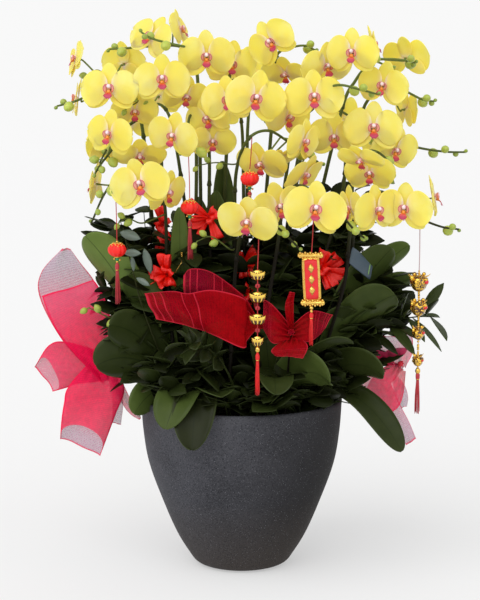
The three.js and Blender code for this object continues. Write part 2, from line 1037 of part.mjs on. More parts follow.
function stemSolid({ foot }, curve, extra) {
  const points = [new THREE.Vector3(foot[0], foot[1], BARK_CROWN - STAND_DEPTH)];
  const radii = [STEM_FOOT_RADIUS + extra];
  curve.points.forEach((spot, i) => {
    points.push(spot);
    radii.push(stemRadius(i / (curve.points.length - 1)) + extra);
  });
  return tubeSolid(points, radii, STEM_SIDES);
}

function stemRadius(t) {
  return STEM_FOOT_RADIUS + (STEM_TIP_RADIUS - STEM_FOOT_RADIUS) * t;
}

// The middle of the faceted stem at a share of its curve.
function stemSpot(curve, t) {
  const steps = curve.points.length - 1;
  const step = Math.min(Math.floor(t * steps), steps - 1);
  return curve.points[step].clone().lerp(curve.points[step + 1], t * steps - step);
}

// The place on a stem that lies nearest to a target, past a share of its curve.
function nearestOn(curve, target, from) {
  let best = stemSpot(curve, from);
  for (let t = from; t <= 1; t += CURVE_STEP) {
    const spot = stemSpot(curve, t);
    if (spot.distanceTo(target) < best.distanceTo(target)) best = spot;
  }
  return best;
}

function budPieces({ buds, budsFrom }, curve) {
  const pieces = [];
  for (let i = 0; i < buds; i++) {
    const share = i / (buds - 1);
    const t = budsFrom + (BUD_LAST - budsFrom) * share;
    const along = curve.getTangent(t);
    const sideways = along.clone().cross(new THREE.Vector3(0, 0, 1)).normalize();
    const hand = i % 2 ? 1 : -1;
    const out = along.multiplyScalar(BUD_LEAN).addScaledVector(sideways, hand).normalize();
    out.z += hand * BUD_RAISE;
    const radius = BUD_RADIUS + (BUD_TIP_RADIUS - BUD_RADIUS) * share;
    const reach = BUD_REACH + (BUD_TIP_REACH - BUD_REACH) * share;
    const length = reach + BUD_POINT * radius;
    const root = stemSpot(curve, t);
    const tip = root.clone().addScaledVector(out, length);
    pieces.push(budSolid(root, tip, reach / length, radius, BUD_SIDES));
  }
  return pieces;
}

function spikeSolid(spike, curve) {
  const blooms = spike.blooms.map((bloom) => bloomSolid(bloom, curve, spike.stalksFrom ?? STALKS_FROM));
  return largestPiece(joined([stemSolid(spike, curve, 0), ...budPieces(spike, curve), ...blooms]));
}

// The four corners of a strap leaf's section at a share of its midrib: its edges are raised by the fold.
function leafSection(curve, t, width, twist) {
  const spot = curve.getPoint(t);
  const along = curve.getTangent(t).normalize();
  const level = along.clone().cross(new THREE.Vector3(0, 0, 1));
  if (level.length() < UPRIGHT) level.set(1, 0, 0).addScaledVector(along, -along.x);
  const side = level.normalize().applyAxisAngle(along, radians(twist * t));
  const up = side.clone().cross(along).normalize();
  const raised = spot.clone().addScaledVector(up, LEAF_FOLD * width);
  return [
    raised.clone().addScaledVector(side, -width / 2),
    spot.clone().addScaledVector(up, LEAF_HALF),
    raised.clone().addScaledVector(side, width / 2),
    spot.clone().addScaledVector(up, -LEAF_HALF),
  ];
}

function leafFaces(rows) {
  const last = 4 * (rows - 1);
  const faces = [
    [0, 3, 1],
    [3, 2, 1],
  ];
  for (let k = 0; k < 4; k++) {
    const next = (k + 1) % 4;
    for (let i = 0; i + 1 < rows; i++) {
      const [a, b] = [4 * i + k, 4 * i + next];
      if (k < 2) faces.push([a, b, b + 4], [a, b + 4, a + 4]);
      else faces.push([a, b, a + 4], [b, b + 4, a + 4]);
    }
    faces.push([last + k, last + next, last + 4]);
  }
  return faces;
}

// A strap leaf along a bent midrib, folded along it, as wide as its stations say and pointed at the end.
function leafSolid(foot, tip, width, lift, twist) {
  const middle = foot.clone().lerp(tip, 0.5).add(new THREE.Vector3(0, 0, lift));
  const curve = new THREE.QuadraticBezierCurve3(foot, middle, tip);
  const points = LEAF_STATIONS.flatMap(([t, share]) => leafSection(curve, t, width * share, twist));
  return solidFromFaces([...points, tip], leafFaces(LEAF_STATIONS.length));
}

function plantSolid({ foot: [x, y], leaves }) {
  const spots = [BARK_CROWN - STAND_DEPTH, CROWN_HEIGHT].map((z) => new THREE.Vector3(x, y, z));
  const pieces = [tubeSolid(spots, [CROWN_RADIUS, CROWN_TOP_RADIUS], CROWN_SIDES)];
  leaves.forEach(([across, up, depth, width, lift, twist], i) => {
    const tip = sighted(across, up, depth);
    const out = new THREE.Vector3(tip.x - x, tip.y - y, 0).normalize().multiplyScalar(LEAF_SEAT);
    const root = new THREE.Vector3(x, y, LEAF_ROOT + LEAF_STEP * i).add(out);
    pieces.push(leafSolid(root, tip, width, lift, twist));
  });
  return joined(pieces);
}

function sprigCurve({ foot, tip }) {
  const collar = new THREE.Vector3(foot[0], foot[1], COLLAR);
  const end = sighted(...tip);
  return new THREE.QuadraticBezierCurve3(collar, collar.clone().lerp(end, SPRIG_BEND).setZ(end.z), end);
}

function sprigSolid(sprig) {
  const curve = sprigCurve(sprig);
  const foot = new THREE.Vector3(sprig.foot[0], sprig.foot[1], BARK_CROWN - STAND_DEPTH);
  const spots = [foot, ...curve.getPoints(SPRIG_STEPS)];
  const radii = spots.map(() => SPRIG_RADIUS);
  const pieces = [tubeSolid(spots, radii, STEM_SIDES)];
  for (let i = 0; i < sprig.count; i++) {
    const t = sprig.from + ((SPRIG_LEAVES_END - sprig.from) * i) / (sprig.count - 1);
    const along = curve.getTangent(t).normalize();
    const side = along.clone().cross(new THREE.Vector3(0, 0, 1)).normalize();
    const out = side.applyAxisAngle(along, i * SPRIG_LEAF_TURN).addScaledVector(along, SPRIG_LEAF_LEAN);
    const root = curve.getPoint(t);
    const end = root.clone().addScaledVector(out.normalize(), sprig.length);
    pieces.push(leafletSolid(root, end, sprig.length * sprig.slim, SPRIG_LEAF_HALF));
  }
  return joined(pieces);
}

// A solid turned round an upright axis, from [radius, height] points that start and end on the axis.
function turnedSolid(profile, sides) {
  const spots = profile.map(([r, z]) => new THREE.Vector2(r, z));
  return solidOf(new THREE.LatheGeometry(spots, sides).rotateX(Math.PI / 2));
}

function potSolid() {
  const outside = POT_OUTSIDE.map(([z, r]) => [r, z]);
  const inside = outside.filter(([, z]) => z > POT_FLOOR).map(([r, z]) => [r - POT_WALL, z]);
  const floor = [inside[0][0] - POT_FLOOR_CURVE, POT_FLOOR];
  return turnedSolid([[0, 0], ...outside, ...inside.reverse(), floor, [0, POT_FLOOR]], POT_SIDES);
}

// The bark and moss: it follows the pot's wall, and stems and crowns stand in plain holes in it.
function barkSolid(holes) {
  const wall = POT_OUTSIDE.filter(([z]) => z > POT_FLOOR && z < BARK_EDGE);
  const reach = Math.cos(Math.PI / POT_SIDES);
  const lean = (r) => (r - POT_WALL) * reach - GAP;
  const profile = [
    [0, POT_FLOOR + GAP],
    [lean(wall[0][1]) - POT_FLOOR_CURVE, POT_FLOOR + GAP],
    ...wall.map(([z, r]) => [lean(r), z]),
    [lean(POT_OUTSIDE.at(-2)[1]), BARK_EDGE],
    [BARK_SHOULDER_RADIUS, BARK_SHOULDER],
    [0, BARK_CROWN],
  ];
  return turnedSolid(profile, BARK_SIDES).subtract(joined(holes));
}

function holeSolid([x, y], radius, sides) {
  const bottom = new THREE.Vector3(x, y, BARK_CROWN - HOLE_DEPTH);
  return rodSolid(bottom, bottom.clone().setZ(HOLE_TOP), radius, sides);
}

// A ribbon strip of a half thickness, as wide as its stations and a little more.
function stripSolid(stations, half, extra) {
  const rows = stations.map(([xa, za, xb, zb, depth]) => {
    const [a, b] = [sighted(xa, za, depth), sighted(xb, zb, depth)];
    const over = b.clone().sub(a).normalize().multiplyScalar(extra);
    return [a.sub(over), b.add(over)];
  });
  const points = [];
  rows.forEach(([a, b], i) => {
    const [before, after] = [rows[Math.max(i - 1, 0)], rows[Math.min(i + 1, rows.length - 1)]];
    const along = after[0].clone().add(after[1]).sub(before[0]).sub(before[1]);
    const normal = along.cross(b.clone().sub(a)).normalize().multiplyScalar(half);
    points.push(a.clone().add(normal), b.clone().add(normal), b.clone().sub(normal), a.clone().sub(normal));
  });
  return solidFromFaces(points, skinFaces(rows.length, 4));
}

function bowPieces({ knot: [across, up, front, back, radius], pick, strips }, extra) {
  const [foot, bend] = pick;
  const route = [
    new THREE.Vector3(foot[0], foot[1], BARK_CROWN - STAND_DEPTH),
    new THREE.Vector3(foot[0], foot[1], COLLAR),
    new THREE.Vector3(...bend),
    sighted(across, up, (front + back) / 2),
  ];
  const radii = route.map(() => PICK_RADIUS + extra);
  const ends = [sighted(across, up, front - extra), sighted(across, up, back + extra)];
  return [
    tubeSolid(route, radii, PICK_SIDES),
    rodSolid(...ends, radius + extra, KNOT_SIDES),
    ...strips.map((stations) => stripSolid(stations, RIBBON_HALF + extra, extra)),
  ];
}

// The share of its curve at which a stem passes a height on its way up.
function shareAtHeight(curve, height) {
  let t = 0;
  while (stemSpot(curve, t).z < height) t += CURVE_STEP;
  return t;
}

function flapSolid(centre, [x, z, y], width, extra) {
  const reach = new THREE.Vector3(x, y, z);
  const over = reach.clone().cross(new THREE.Vector3(0, 1, 0)).setLength(width / 2 + extra);
  const normal = reach.clone().cross(over).setLength(TIE_FLAP_HALF + extra);
  const points = TIE_FLAP_ROWS.flatMap(([share, wide]) => {
    const spot = centre.clone().addScaledVector(reach, share);
    const [a, b] = [-wide, wide].map((way) => spot.clone().addScaledVector(over, way));
    return [a.clone().add(normal), b.clone().add(normal), b.clone().sub(normal), a.clone().sub(normal)];
  });
  return solidFromFaces(points, skinFaces(TIE_FLAP_ROWS.length, 4));
}

function tieSolid({ stem, height, flaps, width }, extra) {
  const curve = curves[stem];
  const centre = stemSpot(curve, shareAtHeight(curve, height));
  const half = new THREE.Vector3(0, 0, TIE_KNOT_HALF + extra);
  const ends = [centre.clone().sub(half), centre.clone().add(half)];
  const knot = rodSolid(...ends, TIE_KNOT_RADIUS + extra, KNOT_SIDES);
  return joined([knot, ...flaps.map((flap) => flapSolid(centre, flap, width, extra))]);
}

// The top of a thread: just under its stem, at the last place where the stem is so far across.
function threadTop({ stem, across }) {
  const curve = curves[stem];
  const goal = sighted(across, stemSpot(curve, 1).z, stemSpot(curve, 1).y).x;
  const miss = (t) => Math.abs(stemSpot(curve, t).x - goal);
  let t = 1;
  while (miss(t - CURVE_STEP) < miss(t)) t -= CURVE_STEP;
  const along = stemSpot(curve, t).sub(stemSpot(curve, t - CURVE_STEP)).normalize();
  const level = Math.hypot(along.x, along.y);
  const drop = (stemRadius(t) + THREAD_RADIUS * Math.abs(along.z)) / level + THREAD_GAP;
  return stemSpot(curve, t).sub(new THREE.Vector3(0, 0, drop));
}

// Below a stem, a height seen from the front at the charm's own depth.
function heightAt(top, up) {
  return sighted(0, up, top.y).z;
}

function threadSolid(top, bottom) {
  return rodSolid(new THREE.Vector3(top.x, top.y, bottom), top, THREAD_RADIUS, THREAD_SIDES);
}

function hungSolid(profile, top, height, sides) {
  return turnedSolid(profile.toReversed(), sides).translate([top.x, top.y, height]);
}

function tasselProfile(length) {
  return TASSEL.map(([r, z]) => [r, (z * length) / TASSEL_LENGTH]);
}

function ingotSolid(x, y, z, width, tall) {
  const points = INGOT_RINGS.flatMap(([level, wide]) =>
    ring((width / 2) * wide, level, INGOT_SIDES).map(
      ([u, v]) => new THREE.Vector3(x + v, y + u * INGOT_DEPTH, z + tall * level),
    ),
  );
  const top = 2 * INGOT_SIDES;
  const faces = skinFaces(3, INGOT_SIDES).filter((face) => !face.every((index) => index >= top));
  for (let k = 0; k < INGOT_SIDES; k++) {
    faces.push([top + k, top + ((k + 1) % INGOT_SIDES), top + INGOT_SIDES]);
  }
  return solidFromFaces([...points, new THREE.Vector3(x, y, z + tall * INGOT_TOP)], faces);
}

// Assembly.
const FINISHES = {
  pot: [0x4a4b55, 0.65, 0],
  bark: [0x3a2a1c, 0.95, 0],
  bloom: [0xf3dc3c, 0.5, 0],
  leaf: [0x2c4a1c, 0.35, 0],
  ribbon: [0xe0315a, 0.6, 0],
  satin: [0xe01818, 0.4, 0],
  silk: [0xb01020, 0.7, 0],
  gold: [0xd9a520, 0.3, 0.8],
  card: [0x3c4c5c, 0.6, 0],
};
const display = new THREE.Group();

function addNode(name, finish, solid) {
  const [hex, roughness, metalness] = FINISHES[finish];
  const material = new THREE.MeshStandardMaterial({ color: hex, roughness, metalness });
  const mesh = new THREE.Mesh(geometryOf(solid), material);
  mesh.name = name;
  display.add(mesh);
}

function addLantern(name, lantern) {
  const top = threadTop(lantern);
  const end = heightAt(top, lantern.end);
  addNode(name + "_thread", "silk", threadSolid(top, end));
  addNode(name, "satin", hungSolid(LANTERN, top, end - GAP, CHARM_SIDES));
}

function addString(name, string) {
  const top = threadTop(string);
  const end = heightAt(top, string.end);
  const tasselTop = heightAt(top, string.tassel);
  const [lower, upper] = [tasselTop + GAP, end - GAP].map((z) => new THREE.Vector3(top.x, top.y, z));
  const ingots = string.ingots.map(([up, width, tall]) =>
    ingotSolid(top.x, top.y, heightAt(top, up), width, tall),
  );
  addNode(name + "_thread", "silk", threadSolid(top, end));
  addNode(name, "gold", joined([rodSolid(lower, upper, LINK_RADIUS, LINK_SIDES), ...ingots]));
  const tassel = hungSolid(tasselProfile(string.tasselLength), top, tasselTop, CHARM_SIDES);
  addNode(name + "_tassel", "silk", tassel);
}

function scrollSolid(top) {
  const rollers = [SCROLL.top, SCROLL.bottom].map((up) => {
    const ends = [-1, 1].map(
      (hand) => new THREE.Vector3(top.x + (hand * SCROLL.roller) / 2, top.y, heightAt(top, up)),
    );
    return rodSolid(...ends, ROLLER_RADIUS, KNOT_SIDES);
  });
  const middle = heightAt(top, (SCROLL.top + SCROLL.bottom) / 2);
  const panel = new THREE.BoxGeometry(SCROLL.width, 2 * SCROLL_HALF, SCROLL.top - SCROLL.bottom);
  return joined([solidOf(panel.translate(top.x, top.y, middle)), ...rollers]);
}

function addScroll() {
  const top = threadTop(SCROLL);
  const threadEnd = heightAt(top, SCROLL.top) + ROLLER_HALF + GAP;
  const tasselTop = heightAt(top, SCROLL.bottom) - ROLLER_HALF - GAP;
  addNode("scroll_thread", "silk", threadSolid(top, threadEnd));
  addNode("scroll", "gold", scrollSolid(top));
  const tassel = hungSolid(tasselProfile(SCROLL_TASSEL_LENGTH), top, tasselTop, CHARM_SIDES);
  addNode("scroll_tassel", "silk", tassel);
}

function addTag() {
  const curve = curves[TAG.stem];
  const spot = stemSpot(curve, shareAtHeight(curve, TAG.height));
  const card = new THREE.BoxGeometry(TAG.size[0], 2 * TAG.half, TAG.size[1])
    .rotateY(radians(-TAG.lean))
    .translate(spot.x + TAG.aside, spot.y - TAG.forward, spot.z);
  addNode("plant_tag", "card", largestPiece(solidOf(card).subtract(room)));
}

function holeSolids() {
  const standing = [
    [SPIKES, STEM_FOOT_RADIUS, STEM_SIDES],
    [PLANTS, CROWN_RADIUS, CROWN_SIDES],
    [SPRIGS, SPRIG_RADIUS, STEM_SIDES],
  ];
  const holes = standing.flatMap(([group, radius, sides]) =>
    Object.values(group).map(({ foot }) => holeSolid(foot, radius + HOLE_ROOM, sides)),
  );
  const pickFeet = Object.values(BOWS).map(({ pick }) => pick[0]);
  return [...holes, ...pickFeet.map((foot) => holeSolid(foot, PICK_RADIUS + HOLE_ROOM, PICK_SIDES))];
}

const curves = {};
for (const [name, spike] of Object.entries(SPIKES)) curves[name] = spikeCurve(spike);
const stemRoom = joined(Object.keys(SPIKES).map((name) => stemSolid(SPIKES[name], curves[name], STEM_ROOM)));
const bowRoom = joined(Object.values(BOWS).flatMap((bow) => bowPieces(bow, GAP)));
const tieRoom = joined(Object.values(TIES).map((tie) => tieSolid(tie, GAP)));
const room = joined([stemRoom, bowRoom, tieRoom]);

addNode("pot", "pot", potSolid());
addNode("bark", "bark", barkSolid(holeSolids()));
for (const [name, spike] of Object.entries(SPIKES)) {
  addNode("spike_" + name, "bloom", spikeSolid(spike, curves[name]));
}
for (const [name, plant] of Object.entries(PLANTS)) {
  addNode(name, "leaf", largestPiece(plantSolid(plant).subtract(room)));
}
for (const [name, sprig] of Object.entries(SPRIGS)) {
  addNode(name, "leaf", largestPiece(sprigSolid(sprig).subtract(room)));
}
for (const [name, bow] of Object.entries(BOWS)) {
  addNode(name, "ribbon", largestPiece(joined(bowPieces(bow, 0)).subtract(stemRoom)));
}
for (const [name, tie] of Object.entries(TIES)) {
  addNode(name, "satin", largestPiece(tieSolid(tie, 0).subtract(stemRoom).subtract(bowRoom)));
}
Object.entries(LANTERNS).forEach(([name, lantern]) => addLantern(name, lantern));
Object.entries(STRINGS).forEach(([name, string]) => addString(name, string));
addScroll();
addTag();

export default display;
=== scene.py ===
import math
import random

import bpy
import numpy as np
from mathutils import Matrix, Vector


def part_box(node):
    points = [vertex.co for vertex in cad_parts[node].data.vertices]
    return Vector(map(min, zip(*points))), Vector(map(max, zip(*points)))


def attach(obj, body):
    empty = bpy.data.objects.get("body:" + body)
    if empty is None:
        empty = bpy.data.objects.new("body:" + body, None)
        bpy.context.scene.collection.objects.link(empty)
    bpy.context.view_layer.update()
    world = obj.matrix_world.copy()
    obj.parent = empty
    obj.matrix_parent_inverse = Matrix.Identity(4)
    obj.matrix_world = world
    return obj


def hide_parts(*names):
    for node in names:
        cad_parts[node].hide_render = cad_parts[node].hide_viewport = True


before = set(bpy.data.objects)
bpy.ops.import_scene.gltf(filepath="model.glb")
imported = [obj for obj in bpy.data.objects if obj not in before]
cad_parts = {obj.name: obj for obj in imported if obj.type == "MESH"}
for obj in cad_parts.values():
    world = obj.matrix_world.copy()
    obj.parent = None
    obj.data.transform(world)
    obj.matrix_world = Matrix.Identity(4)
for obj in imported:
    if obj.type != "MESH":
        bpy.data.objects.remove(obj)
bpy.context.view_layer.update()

BODY = "root"
MM = 0.001
UP = np.array((0.0, 0.0, 1.0))

# A front view's line of sight, as in the part's source. A place is given as (across, up, depth): where it is
# seen on the upright plane through the pot's axis, and how far it is slid along its line of sight.
SIGHT_DISTANCE = 3000
SIGHT_HEIGHT = 469
SIGHT_TILT = math.radians(8)
SIGHT_BACK = SIGHT_DISTANCE * math.cos(SIGHT_TILT)
EYE = np.array((0.0, -SIGHT_BACK, SIGHT_HEIGHT + SIGHT_DISTANCE * math.sin(SIGHT_TILT)))

# The pot's outside as (height, radius), its rim as (radius, height), its wall and its floor, and the top of
# the bark as (radius, height). Then the bark's grid and reach, the number, reach and sizes of its loose
# chips, and the share of them that is moss. What grows stands in the bark from FOOT up, and leaves it at
# COLLAR.
POT_OUTSIDE = ((0, 67), (6, 82), (20, 93), (57, 115), (111, 138), (181, 163), (240, 173), (298, 177))
POT_RIM = ((177, 293), (176.3, 296.2), (174.5, 298), (171, 298), (169, 296.6), (168, 293.5))
POT_WALL = 9
POT_FLOOR = 14
POT_SIDES = 128
BARK_EDGE = 276
BARK_TOP = ((0, 290), (96, 287), (166, BARK_EDGE))
BARK_GRID = (26, 90)
BARK_REACH = 166.5
BARK_CHIPS = 260
CHIP_REACH = 160
CHIP_SIZES = (4, 9)
MOSS_SHARE = 0.25
FOOT = 260
COLLAR = 296

# Stems, stalks and buds: their radii and reaches, a stem's way up out of its collar, and what buds lean and
# rise by. A stem's sheathed rings are (step along it, share of its radius).
STEM_FOOT_RADIUS = 3.6
STEM_TIP_RADIUS = 1.6
RISE_SHARE = 0.5
RISE_LEAN = 0.42
STALKS_FROM = 0.4
STALK_RADIUS = 1.4
STALK_ELBOW = -15
BUD_RADIUS = 8.5
BUD_TIP_RADIUS = 3.2
BUD_REACH = 20
BUD_TIP_REACH = 8
BUD_LEAN = 0.5
BUD_RAISE = 0.3
BUD_LAST = 0.985
STEM_STEPS = 10
STEM_NODES = (0.12, 0.3, 0.5)
NODE_RING = ((-3, 1.0), (-1.5, 1.35), (0, 1.45), (3, 1.25), (7, 1.02))

# The height at which stems begin to turn from nearly black, painted shade among the leaves, to fresher
# green, and how much further up they are fresh.
STEM_PAINTED_SHADE = (560, 330)

# The angle between one leaf, knob or fleck and the next where they wind round something.
GOLDEN_TURN = 2.4

# Charms: the thread's radius, each lantern's stem and how far its tassel drops, each string's stem and its
# ingots as (height, width, tall), and an ingot's rings as (share of its height, share of its width).
THREAD_RADIUS = 0.8
LANTERN_STEMS = {"left": ("left_front", 33), "middle": ("centre_left", 30), "right": ("centre_low", 0)}
STRINGS = {
    "ingots_front": ("front_low", ((513, 25, 20), (474, 28, 21), (435, 28, 21), (396, 20, 20))),
    "ingots_right": ("right_front", ((501, 44, 36), (456, 33, 33), (411, 25, 32), (362, 22, 28))),
}
BOAT_RINGS = (
    (-0.5, 0.34),
    (-0.46, 0.55),
    (-0.3, 0.8),
    (-0.05, 0.95),
    (0.14, 1.0),
    (0.19, 0.95),
    (0.12, 0.78),
    (0.08, 0.62),
    (0.26, 0.54),
    (0.42, 0.38),
    (0.5, 0.16),
)
BOAT_DEPTH = 0.55
BOAT_SIDES = 28
CROWN_KNOBS = 12

# A ball's rings, a disc's bevel, a tassel's head as (radius, share of its length), and its strands.
BALL_RINGS = 11
DISC_FLAT = 0.86
DISC_STEP = 0.4
TASSEL_NECK = 0.2
TASSEL_HEAD = ((3.6, 0.08), (3.4, 0.15), (2.6, 0.2), (0, 0.21))
STRAND_RADII = (0.75, 0.45)

# A lantern's ball under its top, and its gold flecks. A scroll's roller end as (step, radius), and its lean.
LANTERN_DROP = 15.5
LANTERN_RADIUS = 14.8
LANTERN_SQUASH = 0.84
LANTERN_FLECKS = 26
ROLLER_END = ((0, 0.4), (1, 3.4), (3, 3.9), (4.2, 2.2), (5.4, 4.4), (8, 4.5), (9, 3.4))
SCROLL_LEAN = math.radians(3)

# The camera and the stage: places in metres, and how wide each light is, in radians.
CAMERA_LENS = 102.9
CAMERA_ASIDE = -0.0026
FLOOR_RADIUS = 14
FLOOR_SHADE = 0.45
FLOOR_GLOW = 0.412
SKY_SHADE = 0.945
SKY_LIGHT = 0.74
KEY_PLACE = (-1.7, -2.3, 2.9)
KEY_POWER = 1.64
KEY_SPREAD = 1.1
FILL_PLACE = (2.2, -2.6, 1.2)
FILL_POWER = 0.6
FILL_SPREAD = 1.2

# Blooms: the ways of their petals and sepals in degrees from upright, how early the two edges of one bulge,
# and the spans from which its shape is drawn: its lift, its cup, its ripple, the ripple's phase and its
# droop.
PETAL_TURN = 87
SEPAL_TURNS = (0, 128, 232)
PETAL_GRID = (14, 11)
SEPAL_GRID = (11, 7)
PETAL_SWELL = (0.86, 1.12)
SEPAL_SWELL = (0.92, 0.92)
PETAL_LENGTH = 45
PETAL_HALF = 29.5
PETAL_THICKNESS = 0.8
PETAL_SHAPES = ((0.5, 3.5), (-5.0, 2.5), (1.0, 3.2), (0, 6), (-3, 6))
SEPAL_LENGTH = 42
SEPAL_HALF = 14.5
SEPAL_SHAPES = ((-1, 1.5), (1.0, 4.5), (0.3, 1.2), (0, 6), (-3, 4))

# A bloom's middle: the column and the callus as places and radii, the lip's half widths along it, and one of
# its tendrils.
COLUMN_ROD = (
    ((0, 2.6, 0), (0, 4.4, 3), (0, 5.2, 6), (0, 4.8, 8.8), (0, 3.6, 10.6)),
    (3.1, 3.2, 3.5, 3.5, 1.6),
)
CALLUS_ROD = (
    ((0, -2.4, 3.6), (0, -3.2, 5.6), (0, -4.0, 7.6), (0, -4.4, 9.2)),
    (2.6, 3.4, 3.0, 1.4),
)
LIP_SHARES = (0, 0.15, 0.4, 0.6, 0.85, 1)
LIP_HALVES = (3.0, 4.4, 6.4, 7.4, 5.2, 2.2)
TENDRIL = ((1.2, -14.8, 11), (2.4, -16.4, 12.4), (3.8, -15.8, 13.8), (4.8, -14.0, 13.4))

# Small side shoots: their spike, the places they run through, their number of buds, and the buds' radius.
SHOOTS = (
    ("left_upper", ((-158, 826, -84), (-199, 802, -90)), 3, 4.6),
    ("centre_top", ((-13, 706, -70), (-44, 709, -82), (-76, 704, -88)), 3, 4.4),
    ("left_front", ((-172, 604, -124), (-196, 612, -130), (-212, 606, -130)), 3, 4.8),
    ("centre_low", ((-20, 558, -112), (-52, 580, -122), (-78, 572, -126)), 3, 5.0),
    ("left_front", ((-190, 424, -60), (-236, 440, -78), (-268, 456, -82)), 3, 5.6),
)

# Strap leaves: below what level share a leaf counts as upright, its fold, its grid and thickness, its
# plant's crown as (height, radius) and its root there, how fresh it is, and the turn of some leaves' faces
# in degrees.
UPRIGHT = 0.3
LEAF_FOLD = 0.14
STRAP_GRID = (24, 9)
LEAF_THICKNESS = 1.4
CROWN = ((FOOT, 11.5), (284, 11.5), (306, 10), (318, 8), (320, 2))
LEAF_ROOT = 302
LEAF_STEP = 3.5
LEAF_SEAT = 4
LEAF_TONES = {
    "plant_left": (0.8, 0.35, 0.1, 0.1, 0.3),
    "plant_front_left": (0.27, 0.0, 0.1, 0.1, 0.15),
    "plant_front_right": (0.26, 0.1, 0.1, 0.15, 0.1),
    "plant_right": (0.08, 0.1, 0.26, 0.22, 0.1),
    "plant_right_rear": (0.55, 0.35, 0.2, 0.2),
    "plant_rear": (0.15, 0.2, 0.1, 0.2),
    "plant_left_rear": (0.15, 0.2, 0.1),
    "plant_middle": (0.3, 0.35, 0.6, 0.2),
}
LEAF_FACES = {
    ("plant_left", 2): 78,
    ("plant_left", 3): 66,
    ("plant_front_right", 0): -52,
    ("plant_front_left", 1): 0,
    ("plant_right", 1): -62,
}

# Small leaves: their grid, their thickness, and how much of its length one droops.
LEAFLET_GRID = (8, 3)
LEAFLET_THICKNESS = 0.8
LEAFLET_DROOP = (0.04, 0.22)

# Sprigs: where their leaves end, how far the leaves lean outwards, their bend, and how light some are
# painted.
SPRIG_LEAVES_END = 0.97
SPRIG_LEAF_LEAN = 0.6
SPRIG_BEND = 0.3
SPRIG_PAINTED_LIGHT = {"sprig_front": 0.2, "sprig_right": 1.0}

# Undergrowth: the lowest and highest place of each thicket's tips, its number of stems, and how long its
# leaves are. Then the leaves on a stem, how wide they are for their length, how far out stems are rooted,
# and a leaf's greatest droop.
UNDERGROWTH = {
    "front_left": ((-150, -160, 308), (-30, -95, 385), 10, (42, 66)),
    "front": ((-60, -166, 308), (80, -110, 366), 9, (42, 66)),
    "front_right": ((60, -156, 310), (190, -70, 400), 10, (42, 66)),
    "left": ((-215, -90, 330), (-90, 30, 590), 44, (38, 66)),
    "middle": ((-110, -85, 380), (120, 10, 606), 56, (44, 80)),
    "right": ((80, -80, 340), (270, 50, 612), 60, (42, 76)),
    "right_low": ((130, -110, 316), (225, -20, 345), 16, (34, 60)),
    "high_left": ((-235, -60, 560), (-150, 20, 640), 9, (36, 60)),
    "high_right": ((140, -40, 590), (205, 40, 672), 7, (36, 60)),
    "back": ((-190, 60, 330), (150, 140, 500), 30, (38, 66)),
}
BUSH_LEAVES = 10
BUSH_WIDTHS = (0.48, 0.64)
BUSH_REACH = 150
DROOP_ALLOWED = 0.25

# What small leaves don't hide in a front view, as places and radii: the tag, the ties, the bows and their
# tails, the pot's rim, and the strap leaves in front of them.
KEPT_CLEAR = (
    ((198, -62, 540), 42),
    ((278, 40, 558), 34),
    ((-164, -40, 292), 30),
    ((-122, -150, 306), 26),
    ((-136, -75, 528), 32),
    ((7, -41, 517), 30),
    ((12, -41, 474), 26),
    ((136, -47, 546), 36),
    ((270, 10, 372), 46),
    ((196, 14, 350), 26),
    ((232, 16, 318), 24),
    ((192, 30, 288), 32),
    ((168, -15, 266), 28),
    ((-275, -10, 402), 45),
    ((-262, -10, 338), 38),
    ((-206, -64, 352), 42),
    ((-238, -60, 556), 32),
)

# Strap leaves that a plant has besides those of the source, each as in PLANTS, and then its tone.
EXTRA_LEAVES = {
    "plant_left": (
        (-190, 266, -104, 56, 56, 98, 0.42),
        (-108, 632, -64, 34, 0, 8, 0.7),
        (-86, 590, -52, 26, 0, -10, 0.62),
    ),
}

# A thin twig with greyish lance leaves: its places, then the root, the tip and the width of each leaf.
TWIG = ((-112, 296, -60), (-168, 440, -96), (-192, 530, -112), (-206, 596, -112))
LANCES = (
    ((-212, 588, -112), (-176, 579, -124), 17),
    ((-206, 552, -112), (-175, 553, -122), 13),
    ((-188, 519, -112), (-191, 552, -118), 8),
    ((-184, 508, -112), (-160, 496, -120), 10),
    ((-170, 560, -100), (-158, 520, -104), 14),
)

# The gold wire of the left tie: its places and radius, and the end, the turns and the radius of its twist.
TIE_WIRE = ((-116, 517, -84), (-108.5, 529, -86), (-103.5, 536, -86))
TIE_WIRE_END = (-104.5, 553, -86)
TIE_WIRE_TURNS = 6
TIE_WIRE_RADIUS = 0.7
TIE_WIRE_TWIST = 1.3

# Ribbons: the deepest pleat, the narrowest flat width, how grey each strip's near and far ends are, which
# strips are loops, how fast the pleats die away, and how much of the knot's radius is cloth.
RIBBON_PLEAT = 4.0
RIBBON_LEAST = 30
PICK_RADIUS = 1.6
RIBBON_TONES = {
    "bow_left": ((0.0, 0.3), (0.1, 1.0), (0.2, 0.5), (0.1, 0.9), (0.6, 0.9), (0.1, 0.3)),
    "bow_right": ((0.3, 0.8), (0.1, 0.35), (0.5, 0.9), (0.9, 1.0)),
    "bow_front": ((0.0, 0.3), (0.1, 0.8), (0.1, 0.45), (0.1, 0.7), (0.05, 0.2), (0.0, 0.0)),
}
LOOPED = {"bow_left": (2, 3)}
RIBBON_GATHER = {"bow_left": 32, "bow_right": 26, "bow_front": 26}
RIBBON_COLUMNS = 41
PLEATS = 4.5
KNOT_SHARE = 0.36
LOOP_SHARE = 0.72
LOOP_BULGE = 8

# The plant tag: the ways of its sides, its size and thickness, its middle beside the middle of the CAD card,
# and its line's place across it, half width and half height.
TAG_ACROSS = (40, 25, -34)
TAG_UPWARD = (7, 25, 26.6)
TAG_SIZE = (54, 36)
TAG_THICKNESS = 1.6
TAG_SHIFT = (6, -6, 2)
TAG_LINE = (20, 0.8, 11)

